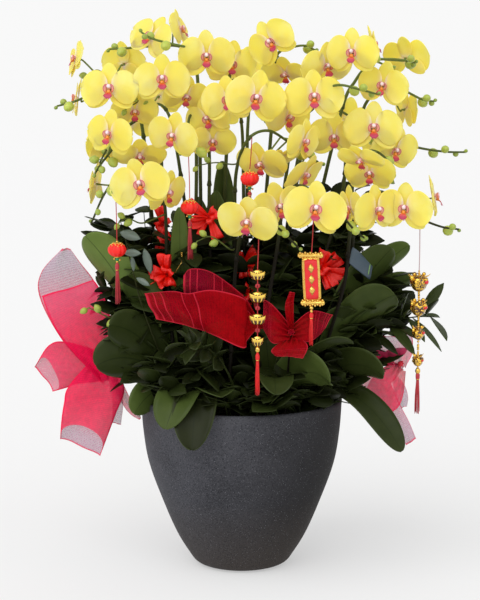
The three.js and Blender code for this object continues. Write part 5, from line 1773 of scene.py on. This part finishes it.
class Bloom:
    """One bloom's turn, centre and size, and what it adds to its spike's sheaf."""

    def __init__(self, row, sheaf, dice):
        across, up, depth, yaw, pitch, roll, self.size = row
        self.turn = bloom_turn(yaw, pitch, roll)
        self.centre = sighted(across, up, depth)
        self.sheaf, self.dice = sheaf, dice
        self.tone = dice.uniform(0.0, 0.5)

    def place(self, spots):
        spots = np.asarray(spots, float)
        local = np.stack([spots[..., 0], -spots[..., 2], spots[..., 1]], axis=-1)
        return self.centre + self.size * local @ self.turn.T

    def slab(self, grid, places, slot, thickness, tone):
        self.sheaf.slab(self.place(grid)[:, ::-1], places[:, ::-1], slot, thickness, tone)

    def petals(self):
        for hand in (1, -1):
            turn = math.radians(90 - hand * (PETAL_TURN + self.dice.uniform(-4, 4)))
            shape = [self.dice.uniform(*span) for span in PETAL_SHAPES]
            half = PETAL_HALF * self.dice.uniform(0.95, 1.04)
            base = (2.5 * hand, 2, 0.5)
            grid, places = petal_grid(base, turn, PETAL_LENGTH, half, *PETAL_GRID, PETAL_SWELL, shape)
            self.slab(grid, places, PETALS, PETAL_THICKNESS, self.tone * 0.7)

    def sepals(self):
        for degrees in SEPAL_TURNS:
            turn = math.radians(90 + degrees + self.dice.uniform(-4, 4))
            base = (2 * math.cos(turn), 2 * math.sin(turn), -3.5)
            shape = [self.dice.uniform(*span) for span in SEPAL_SHAPES]
            grid, places = petal_grid(base, turn, SEPAL_LENGTH, SEPAL_HALF, *SEPAL_GRID, SEPAL_SWELL, shape)
            self.slab(grid, places, PETALS, PETAL_THICKNESS, 0.5 + self.tone)

    def column(self):
        """The column, and the callus under it."""
        for (route, radii), sides, slot in ((COLUMN_ROD, 10, COLUMNS), (CALLUS_ROD, 8, CALLI)):
            self.sheaf.tube(self.place(route), np.array(radii) * self.size, sides, slot)

    def wings(self):
        """The striped side lobes, which stand up on both sides of the column."""
        places = shares_over(6, 5)
        for hand in (1, -1):
            rows = []
            for s in spaced(0, 1, 6):
                half = 3.6 * math.sin(math.pi * (0.14 + 0.74 * s)) ** 0.6
                bend = -0.9 + 2.3 * s
                aside = hand * (1.3 + 5.2 * math.cos(bend))
                spine = np.array((aside, 0.8 + 7.6 * math.sin(bend), 5.5 + 2.5 * s))
                reach = np.array((hand * 0.75, 0, 0.66)) * half
                rows.append([spine + reach * x for x in spaced(-1, 1, 5)])
            self.slab(np.array(rows)[:, ::hand], places[:, ::hand], WINGS, 0.7, 0.5)

    def midlobe(self):
        """The lip's midlobe, with two tendrils at its tip."""
        rows = []
        for s in spaced(0, 1, 9):
            half = float(np.interp(s, LIP_SHARES, LIP_HALVES))
            spine = np.array((0, -4.4 - 10.8 * s, 4.8 + 6.4 * s + 2.6 * math.sin(math.pi * s)))
            rows.append([spine + (x * half, 0, 1.8 * abs(x) ** 1.5 * (1 - s)) for x in spaced(-1, 1, 7)])
        self.slab(np.array(rows), shares_over(9, 7), LIPS, 0.9, 0.5)
        for hand in (1, -1):
            curl = self.place([(u * hand, v, w) for u, v, w in TENDRIL])
            self.sheaf.tube(smooth_route(curl, 3), spaced(0.5 * self.size, 0.18 * self.size, 10), 5, LIPS)

    def stalk(self, route, start):
        elbow = self.place((0, 0, STALK_ELBOW))
        end = at_share(route, nearest_on(route, elbow, start))
        spots = smooth_route([self.place((0, 0, -2.5)), self.place((0, 0, -9)), elbow, end], 5)
        widths = (2.6 * self.size, STALK_RADIUS, STALK_RADIUS * 1.1)
        self.sheaf.tube(spots, np.interp(spaced(0, 1, len(spots)), (0, 0.2, 1), widths), 8, STEMS, 0.9)


def way_at(route, t):
    """The way in which a route runs at a share of it."""
    return unit(at_share(route, t + 0.01) - at_share(route, t - 0.01))


def add_bud(sheaf, root, out, reach, radius, tone):
    """A bud on its stalk: out is its way, reach the way to its middle."""
    stalk = [root, root + out * (reach - radius) * 0.5 + UP * 0.8, root + out * (reach - radius * 0.9)]
    sheaf.tube(smooth_route(stalk, 3), spaced(1.3, 0.9, 7), 6, STEMS, 0.8)
    shares = spaced(0, 1, 9)
    spots = [root + out * (reach - 1.2 * radius + 2.7 * radius * q) for q in shares]
    radii = [max(0.25, radius * math.sin(math.pi * q**0.88) ** 0.66) for q in shares]
    sheaf.tube(spots, radii, 12, BUDS, tone)


def add_buds(sheaf, spike, route, dice):
    """The buds at a spike's end, on alternate sides, smaller and greener towards its tip."""
    for i in range(spike["buds"]):
        share = i / (spike["buds"] - 1)
        t = spike["buds_from"] + (BUD_LAST - spike["buds_from"]) * share
        along = way_at(route, t)
        hand = 1 if i % 2 else -1
        out = unit(along * BUD_LEAN + unit(np.cross(along, UP)) * hand) + UP * hand * BUD_RAISE
        radius = BUD_RADIUS + (BUD_TIP_RADIUS - BUD_RADIUS) * share
        reach = BUD_REACH + (BUD_TIP_REACH - BUD_REACH) * share
        tone = 0.85 - 0.7 * share + dice.uniform(-0.1, 0.1)
        add_bud(sheaf, at_share(route, t), unit(out), reach, radius, tone)


def add_shoots(sheaf, name, dice):
    """A spike's thin side shoots, each ending in a few small buds."""
    for stem, places, count, radius in SHOOTS:
        if stem != name:
            continue
        places = [sighted(*place) for place in places]
        start = at_share(ROUTES[name], nearest_on(ROUTES[name], places[0], 0))
        route = smooth_route([start, *places], 6)
        sheaf.tube(route, spaced(1.6, 0.9, len(route)), 8, STEMS, 0.5)
        for i in range(count):
            t = 0.98 - 0.22 * i
            out = unit(way_at(route, t) + UP * (1 if i % 2 else -0.9) + np.array((0, -0.3, 0)))
            size = radius * (1 + 0.15 * i)
            add_bud(sheaf, at_share(route, t), out, radius * 1.9, size, dice.uniform(0.4, 0.7))


def painted_stem_shade(height):
    """Painted shade: nearly black among the leaves, fresher green further up."""
    return np.clip((np.asarray(height) - STEM_PAINTED_SHADE[0]) / STEM_PAINTED_SHADE[1], 0, 1) * 0.75


def add_stem(sheaf, spike, route):
    """The stem, from its foot in the bark, with a sheathed node ring here and there."""
    spots = np.vstack([[(*spike["foot"], FOOT)], route])
    radii = np.concatenate([[STEM_FOOT_RADIUS], stem_radius(np.linspace(0, 1, len(route)))])
    # The tone of the stem and of its node rings paints shade on it low down among the leaves.
    sheaf.tube(spots, radii, 10, STEMS, np.repeat(painted_stem_shade(spots[:, 2]), 10))
    for share in STEM_NODES:
        spot = at_share(route, share)
        along = unit(at_share(route, share + 0.01) - spot)
        ring = [spot + along * step for step, _ in NODE_RING]
        radii = [float(stem_radius(share)) * size for _, size in NODE_RING]
        sheaf.tube(ring, radii, 10, STEMS, painted_stem_shade(spot[2]) * 0.6)


def make_flowers():
    for name, spike in SPIKES.items():
        dice = random.Random("spike " + name)
        sheaf, route = Sheaf(), ROUTES[name]
        add_stem(sheaf, spike, route)
        add_buds(sheaf, spike, route, dice)
        add_shoots(sheaf, name, dice)
        for row in spike["blooms"]:
            bloom = Bloom(row, sheaf, dice)
            bloom.petals()
            bloom.sepals()
            bloom.column()
            bloom.wings()
            bloom.midlobe()
            bloom.stalk(route, spike.get("stalks_from", STALKS_FROM))
        sheaf.piece("flowers_" + name, FLOWER_PARTS, "bloom", "spike_" + name)


make_flowers()


# Leaves.
def bent_line(root, middle, tip, t):
    return root * (1 - t) ** 2 + middle * 2 * t * (1 - t) + tip * t * t


def leaf_share(t):
    """A strap leaf's width at a share of its length: narrow at its root, broad further out, round-ended."""
    rise = 0.2 + 0.8 * math.sin(math.pi / 2 * min(t / 0.55, 1))
    return rise * math.sqrt(max(0.0, 1 - (max(t - 0.66, 0) / 0.34) ** 2.4))


def strap_leaf(sheaf, root, tip, width, lift, twist, tone, dice, quick=1.0):
    """A strap leaf along a bent midrib, folded along it, turning by its twist on the way out."""
    middle = (root + tip) / 2 + UP * lift
    wave, phase = dice.uniform(0.01, 0.035) * width, dice.uniform(0, 6)
    rows, columns = STRAP_GRID
    grid = np.zeros((rows, columns, 3))
    places = np.zeros((rows, columns, 2))
    for i, t in enumerate(spaced(0, 1, rows)):
        t = 0.999 * math.sin(math.pi / 2 * t) ** 1.1
        spot = bent_line(root, middle, tip, t)
        along = unit((middle - root) * (1 - t) + (tip - middle) * t)
        level = np.cross(along, UP)
        if np.linalg.norm(level) < UPRIGHT:
            level = np.array((1.0, 0, 0)) - along * along[0]
        side = turned_about(unit(level), along, math.radians(twist * min(1, t * quick)))
        up = unit(np.cross(side, along))
        half = max(width * leaf_share(t) / 2, 0.8)
        for j, x in enumerate(spaced(-1, 1, columns)):
            raised = LEAF_FOLD * width * leaf_share(t) * abs(x) ** 1.3
            ripple = wave * math.sin(7 * t + 2 * x + phase) * abs(x) * t
            grid[i, j] = spot + side * half * x + up * (raised + ripple)
            places[i, j] = (t, x / 2 + 0.5)
    sheaf.slab(grid, places, 0, LEAF_THICKNESS, tone)


def make_plants():
    for name, plant in PLANTS.items():
        dice = random.Random("leaves " + name)
        sheaf = Sheaf()
        x, y = plant["foot"]
        sheaf.tube([(x, y, z) for z, _ in CROWN], [radius for _, radius in CROWN], 14, 0, 0.35)
        for i, (across, up, depth, width, lift, twist) in enumerate(plant["leaves"]):
            tip = sighted(across, up, depth)
            out = unit(np.array((tip[0] - x, tip[1] - y, 0.0))) * LEAF_SEAT
            root = np.array((x, y, LEAF_ROOT + LEAF_STEP * i)) + out
            twist, quick = (LEAF_FACES[name, i], 2.0) if (name, i) in LEAF_FACES else (twist, 1.0)
            strap_leaf(sheaf, root, tip, width, lift, twist, LEAF_TONES[name][i], dice, quick)
        for across, up, depth, width, lift, twist, tone in EXTRA_LEAVES.get(name, ()):
            tip = sighted(across, up, depth)
            strap_leaf(sheaf, np.array((x, y, LEAF_ROOT)), tip, width, lift, twist, tone, dice, 2.0)
        sheaf.piece("leaves_" + name, (LEAF,), "leaf", name)


def leaflet(
    sheaf, root, out, length, width, tone, dice, fold=0.22, round_end=0.9, over=UP, roll=0.9, slot=0
):
    """A small leaf from its root along a way, with a fold, a little droop and a pointed or round end."""
    side = np.cross(out, over)
    side = unit(side) if np.linalg.norm(side) > 0.1 else np.array((1.0, 0, 0))
    side = turned_about(side, out, dice.uniform(-roll, roll))
    up = unit(np.cross(side, out))
    droop = dice.uniform(*LEAFLET_DROOP) * length
    rows, columns = LEAFLET_GRID
    grid = np.zeros((rows, columns, 3))
    places = np.zeros((rows, columns, 2))
    for i, t in enumerate(spaced(0.02, 0.995, rows)):
        half = width / 2 * max(math.sin(math.pi * t**round_end) ** 0.75, 0.04)
        spot = root + out * length * t - UP * droop * t * t
        for j, x in enumerate(spaced(-1, 1, columns)):
            grid[i, j] = spot + side * half * x + up * fold * half * abs(x)
            places[i, j] = (t, x / 2 + 0.5)
    sheaf.slab(grid, places, slot, LEAFLET_THICKNESS, tone)


def make_sprigs():
    for name, sprig in SPRIGS.items():
        dice = random.Random("sprig " + name)
        sheaf = Sheaf()
        collar = np.array((*sprig["foot"], COLLAR), float)
        end = sighted(*sprig["tip"])
        middle = collar + (end - collar) * SPRIG_BEND
        middle[2] = end[2]
        route = np.array([bent_line(collar, middle, end, t) for t in spaced(0, 1, 19)])
        sheaf.tube(np.vstack([[(*sprig["foot"], FOOT)], route]), spaced(2.4, 1.1, 20), 8, 0, 0.06)
        count = 2 * sprig["count"] - 1
        for i in range(count):
            t = sprig["from"] + (SPRIG_LEAVES_END - sprig["from"]) * i / (count - 1)
            along = way_at(route, t)
            side = turned_about(unit(np.cross(along, UP)), along, i * GOLDEN_TURN / 2)
            out = unit(side + along * SPRIG_LEAF_LEAN)
            length = sprig["length"] * (1 if i % 2 == 0 else 0.8)
            # A sprig's share darkens its leaves as painted shade, most on the front sprig.
            tone = dice.uniform(0, 0.25) * SPRIG_PAINTED_LIGHT.get(name, 0.5)
            leaflet(sheaf, at_share(route, t), out, length, length * sprig["slim"], tone, dice, 0.3, 1.15)
        sheaf.piece("leaves_" + name, (LEAF,), "leaf", name)


def seen_at(spot):
    """Where a front view sees a place, on the upright plane through the pot's axis."""
    return (EYE + (spot - EYE) * SIGHT_BACK / (spot[1] + SIGHT_BACK))[[0, 2]]


def hides(spot):
    """Whether a small leaf at a place would stand before something that it shouldn't hide."""
    seen = seen_at(spot)
    for place, radius in KEPT_CLEAR:
        if spot[1] < place[1] + 5 and np.linalg.norm(seen - seen_at(np.array(place))) < radius:
            return True
    return False


def cuts_pot(root, tip):
    """Whether a small leaf would cut the pot's wall or hang down outside it."""
    spots = np.linspace(root, tip, 6)
    wall = np.interp(spots[:, 2], *zip(*POT_OUTSIDE)) - POT_WALL - 4
    below = spots[:, 2] < POT_OUTSIDE[-1][0] + 6
    return bool(np.any(below & (np.linalg.norm(spots[:, :2], axis=1) > wall)))


def add_bush_leaf(sheaf, spot, turn, sizes, dice):
    """A small leaf at a place, unless it would hide or cut something there."""
    way = unit(around(turn, 0.6) + UP * dice.uniform(-0.3, 0.7))
    length = dice.uniform(*sizes)
    width = length * dice.uniform(*BUSH_WIDTHS)
    tone = dice.uniform(0, 0.22) ** 1.4
    bend = random.Random(dice.random())
    tip = spot + way * length - UP * DROOP_ALLOWED * length
    if not hides(spot + way * length / 2) and not cuts_pot(spot, tip):
        leaflet(sheaf, spot, way, length, width, tone, bend, 0.16)


def make_undergrowth():
    """Small rounded leaves, painted dark as shade, on short stems that fill in between the plants."""
    for name, (low, high, count, sizes) in UNDERGROWTH.items():
        dice = random.Random("undergrowth " + name)
        sheaf = Sheaf()
        for _ in range(count):
            foot = np.array([dice.uniform(a, b) for a, b in zip(low[:2], high[:2])])
            root = np.array((*(foot * min(1.0, BUSH_REACH / np.linalg.norm(foot))), BARK_EDGE + 2))
            tip = np.array([dice.uniform(a, b) for a, b in zip(low, high)])
            route = smooth_route([root, root * 0.4 + tip * 0.6 + UP * 12, tip], 5)
            sheaf.tube(route, spaced(1.6, 0.8, len(route)), 6, 0, 0.04)
            turn = dice.uniform(0, 6)
            for k in range(BUSH_LEAVES):
                turn += GOLDEN_TURN
                add_bush_leaf(sheaf, at_share(route, 0.34 + 0.66 * k / (BUSH_LEAVES - 1)), turn, sizes, dice)
        sheaf.piece("leaves_under_" + name, (PAINTED_SHADE_LEAF,), "leaf")


def make_twig():
    """A thin twig that rises out of the bark on the left, with a few greyish lance leaves."""
    dice = random.Random("twig")
    sheaf = Sheaf()
    front = np.array((0, -1.0, 0))
    route = smooth_route([sighted(*spot) for spot in TWIG], 6)
    sheaf.tube(route, spaced(1.6, 0.8, len(route)), 6, 0, 0.12)
    for root, tip, width in LANCES:
        root, tip = sighted(*root), sighted(*tip)
        joint = route[int(np.argmin(np.linalg.norm(route - root, axis=1)))]
        sheaf.tube(smooth_route([joint, (joint + root) / 2 - UP, root], 3), spaced(0.9, 0.6, 7), 6, 0, 0.2)
        length = float(np.linalg.norm(tip - root))
        leaflet(sheaf, root, unit(tip - root), length, width, 0.5, dice, 0.2, 1.0, front, 0.5, 1)
    sheaf.piece("leaves_twig_left", (STEM, LANCE_LEAF), "leaf")


make_plants()
make_sprigs()
make_undergrowth()
make_twig()


# The pot and the bark.
def make_pot():
    """The pot's wall, turned round its axis: foot, bellied side, rounded rim, inner wall and floor."""
    side = np.maximum(smooth_route([(r, z, 0) for z, r in POT_OUTSIDE], 6)[:, :2], 0)
    outside = [tuple(p) for p in side if p[1] < 292]
    inside = [(r - POT_WALL, z) for r, z in reversed(outside) if 24 < z < 288]
    profile = [(0, 0), (60, 0), *outside, *POT_RIM, *inside, (64, POT_FLOOR), (0, POT_FLOOR)]
    sheaf = Sheaf()
    sheaf.turned(profile, (0, 0, 0), POT_SIDES, 0)
    sheaf.piece("pot_cast_body", (POT,), "pot", "pot")


def bark_height(radius):
    return float(np.interp(radius, *zip(*BARK_TOP)))


def add_bark_bed(sheaf, dice):
    rows, columns = BARK_GRID
    grid = np.zeros((rows, columns, 3))
    for i, radius in enumerate(spaced(2, BARK_REACH, rows)):
        for j, share in enumerate(spaced(0, 1, columns)):
            rough = 0 if i == rows - 1 or j in (0, columns - 1) else dice.uniform(-3, 2)
            grid[i, j] = around(2 * math.pi * share) * radius + UP * (bark_height(radius) - 1 + rough)
    sheaf.sheet(grid, grid[..., :2] / 100, 0, 0.1)


def add_bark_chip(sheaf, dice):
    """A loose chip of bark, or a tuft of moss."""
    radius, turn = CHIP_REACH * math.sqrt(dice.random()), dice.uniform(0, 2 * math.pi)
    spot = around(turn) * radius + UP * (bark_height(radius) + 1)
    way = unit(around(dice.uniform(0, 2 * math.pi)) + UP * dice.uniform(-0.25, 0.25))
    size, mossy = dice.uniform(*CHIP_SIZES), dice.random() < MOSS_SHARE
    route = [spot + way * size * 1.3 * k for k in (-1.0, -0.7, 0.1, 0.8, 1.0)]
    radii = [size * k * dice.uniform(0.8, 1.1) for k in (0.35, 0.7, 0.8, 0.6, 0.25)]
    sheaf.tube(route, radii, 6, 0, 0.9 if mossy else dice.uniform(0, 0.25), 0.5)


def make_bark():
    """A rough bed of bark with loose chips and tufts of moss on it."""
    dice = random.Random(5)
    sheaf = Sheaf()
    add_bark_bed(sheaf, dice)
    for _ in range(BARK_CHIPS):
        add_bark_chip(sheaf, dice)
    sheaf.piece("bark_bed", (BARK,), "bark", "bark")


make_pot()
make_bark()


# Mesh ribbon and satin ties.
def ribbon_folds(x, here, widths, flat_width, gather, dice):
    """How far a ribbon's points stand off it: pleats that die away from the knot, and then a slow wave."""
    slack = np.sqrt(np.maximum((flat_width / widths) ** 2 - 1, 0.0))
    depth = np.minimum(widths * slack / (math.pi * PLEATS), RIBBON_PLEAT)
    phase = dice.uniform(0, 6)
    pleats = np.sin(2 * math.pi * PLEATS * x + phase) * depth * np.exp(-here / gather)
    return pleats + 2.2 * np.sin(2.6 * x * math.pi + here * 0.03 + phase) * np.minimum(here / 40, 1)


def ribbon_grid(strip, looped, gather, dice):
    """A strip's surface, smooth along its stations and pleated by its knot. A looped one is a flat tube.

    It gives the surface, its texture places, and the strip's flat width and length."""
    left = smooth_route([sighted(xa, za, depth) for xa, za, _, _, depth in strip], 9)
    right = smooth_route([sighted(xb, zb, depth) for _, _, xb, zb, depth in strip], 9)
    middle, over = (left + right) / 2, right - left
    widths, run = np.linalg.norm(over, axis=1), runs_along(middle)
    out = np.cross(np.gradient(middle, axis=0), over)
    out /= np.maximum(np.linalg.norm(out, axis=1, keepdims=True), 1e-6)
    out *= np.where(out[:, 1:2] > 0, -1, 1)
    shares = np.linspace(0, 1, RIBBON_COLUMNS)
    ring = 2 * math.pi * shares
    x = (1 - np.cos(ring)) / 2 if looped else shares
    short = (1 - LOOP_SHARE) * np.maximum(np.sin(ring), 0) ** 0.7 if looped else 0 * shares
    rows = np.arange(len(run))
    row = rows[:, None] * (1 - short)[None, :]
    first, last, away = (across_rows(line, row) for line in (left, right, out))
    here = np.interp(row, rows, run)
    flat_width = float(max(widths.max() * 1.02, RIBBON_LEAST))
    rise = ribbon_folds(x, here, np.interp(row, rows, widths), flat_width, gather, dice)
    if looped:
        rise = rise + LOOP_BULGE * np.sin(ring) * np.minimum(here / 60, 1)
    grid = first + (last - first) * x[None, :, None] + away * rise[..., None]
    places = np.stack([here / run[-1], np.broadcast_to(x, here.shape)], axis=2)
    return grid, places, (flat_width * (2 if looped else 1), float(run[-1]))


def across_rows(line, row):
    """The points of a line at fractional rows."""
    rows = np.arange(len(line))
    return np.stack([np.interp(row, rows, line[:, k]) for k in range(3)], axis=-1)


def sheet_area(grid):
    a, b, c = grid[:-1, :-1], grid[1:, :-1], grid[:-1, 1:]
    d = grid[1:, 1:]
    first = np.linalg.norm(np.cross(b - a, c - a), axis=2).sum()
    return float(first + np.linalg.norm(np.cross(b - d, c - d), axis=2).sum()) / 2


def make_knot(name, bow, cloth):
    """A bow's pleated knot, and the pick in the bark that carries it."""
    across, up, front, back, radius = bow["knot"]
    foot, bend = bow["pick"]
    ends = sighted(across, up, front), sighted(across, up, back)
    hold = Sheaf()
    route = [(*foot, FOOT), (*foot, COLLAR), bend, (ends[0] + ends[1]) / 2]
    hold.tube(smooth_route(route, 6), PICK_RADIUS, 8, 0, 0)
    way = ends[1] - ends[0]
    side = unit(np.cross(way, UP))
    barrel = [ends[0] + way * s for s in spaced(0, 1, 9)]
    radii = [radius * KNOT_SHARE * (0.62 + 0.3 * math.sin(math.pi * s)) for s in spaced(0, 1, 9)]
    hold.tube(barrel, radii, 22, 1)
    for turn in turns_of(7):
        out = side * math.cos(turn) + UP * math.sin(turn)
        hold.tube([p + out * r * 0.93 for p, r in zip(barrel, radii)], 1.6, 6, 1, 0.2)
    slots = STEM, cloth if cloth is DEEP_MESH else WIRE
    return hold.piece("ribbon_knot_" + name, slots, "mesh_ribbon", name)


def make_bow(name, bow):
    """A bow's strips, each a sheet of its own, gathered in its knot."""
    dice = random.Random("bow " + name)
    cloth = DEEP_MESH if name == "bow_front" else MESH
    knot = make_knot(name, bow, cloth)
    for i, strip in enumerate(bow["strips"]):
        looped = i in LOOPED.get(name, ())
        grid, places, (width, length) = ribbon_grid(strip, looped, RIBBON_GATHER[name], dice)
        near, far = RIBBON_TONES[name][i]
        tone = near + (far - near) * np.clip(places[..., 0] * 2.2 - 0.9, 0, 1)
        if looped:
            tone[:, : RIBBON_COLUMNS // 2] = near
        sheaf = Sheaf()
        sheaf.sheet(grid, places, 0, tone)
        made = sheaf.piece(f"ribbon_{name}_{i}", (cloth,), "mesh_ribbon")


def tie_flap(centre, reach, width, dice):
    """One crumpled loop of a satin tie, folded out along its reach and back."""
    size, out = np.linalg.norm(reach) * 1.06, unit(reach)
    over = turned_about(unit(np.cross(out, np.array((0, 1.0, 0)))), out, dice.uniform(-0.5, 0.5))
    face = unit(np.cross(over, out))
    face = -face if face[1] > 0 else face
    swell, phase = dice.uniform(5, 10), dice.uniform(0, 6)
    rows = []
    for s in spaced(0, 1, 25):
        rise = math.sin(math.pi * s)
        spot = centre + out * (4 + (size - 4) * rise**0.8)
        spot = spot + face * (swell * math.cos(math.pi * s) * rise**0.5 + 1.5)
        half = width / 2 * (0.35 + 0.75 * rise**0.7)
        loose = 1 - 0.3 * rise
        row = []
        for k in spaced(-1, 1, 11):
            fold = 2.4 * math.cos(4 * k + phase) + 1.2 * math.cos(9 * k + 3 * s + phase)
            row.append(spot + over * half * k + face * fold * loose)
        rows.append(row)
    return np.array(rows)


def tie_band(centre):
    """Two turns of satin wound round a stem."""
    turns = spaced(0, 4 * math.pi, 33)
    band = [centre + BAND_RADIUS * around(a) + UP * 0.3 * (a - 2 * math.pi) for a in turns]
    edge = UP * BAND_HALF
    return np.array([[p - edge, p - UP * 2 * math.cos(k), p + edge] for k, p in enumerate(band)])


def make_ties():
    """Satin ties: a band wound round the stem and crumpled loops like petals."""
    for name, tie in TIES.items():
        dice = random.Random("tie " + name)
        route = ROUTES[tie["stem"]]
        way_up = route[: int(np.argmax(route[:, 2])) + 1]
        centre = np.array([np.interp(tie["height"], way_up[:, 2], way_up[:, k]) for k in range(3)])
        grids = [tie_band(centre)]
        for x, z, y in tie["flaps"]:
            grids.append(tie_flap(centre, np.array((x, y, z), float), tie["width"], dice))
        sheaf = Sheaf()
        length, area = 0.0, 0.0
        for grid in grids:
            run = runs_along(grid[:, grid.shape[1] // 2])
            across = np.linspace(0, tie["width"], grid.shape[1])
            sheaf.sheet(grid, np.stack(np.meshgrid(across, run), axis=2)[..., ::-1], 0, 0.5)
            length += float(run[-1])
            area += sheet_area(grid)
        nodes = () if tie.get("extra") else (name,)
        made = sheaf.piece("satin_" + name, (SATIN,), "satin_ribbon", *nodes)


def make_tag():
    """A plain card with rounded corners and one thin line down its right side, leaning by the leaves."""
    spot = middle_of("plant_tag") + TAG_SHIFT
    across, upward = unit(np.array(TAG_ACROSS)), unit(np.array(TAG_UPWARD))
    near = unit(np.cross(across, upward))
    sheaf = Sheaf()
    aside, half_width, half_height = TAG_LINE
    plate(sheaf, spot, across, upward, TAG_SIZE[0] / 2, TAG_SIZE[1] / 2, TAG_THICKNESS, 0)
    plate(sheaf, spot + across * aside + near * 1.0, across, upward, half_width, half_height, 0.5, 1, 0)
    sheaf.piece("tag_card", (CARD, CARD_LINE), "card", "plant_tag")


def make_wire():
    """A thin gold wire that rises from the left tie and ends in a twist."""
    sheaf = Sheaf()
    bend = np.array([sighted(*spot) for spot in TIE_WIRE])
    rise = sighted(*TIE_WIRE_END) - bend[-1]
    turns = [(t, 2 * math.pi * TIE_WIRE_TURNS * t) for t in spaced(0, 1, 49)]
    twist = [bend[-1] + rise * t + TIE_WIRE_TWIST * around(a) for t, a in turns]
    for route in (smooth_route(bend, 4), np.array(twist)):
        sheaf.tube(route, TIE_WIRE_RADIUS, 6, 0)
    sheaf.piece("tie_wire", (GOLD,), "gold")


for each_bow in BOWS:
    make_bow(each_bow, BOWS[each_bow])
make_ties()
make_tag()
make_wire()
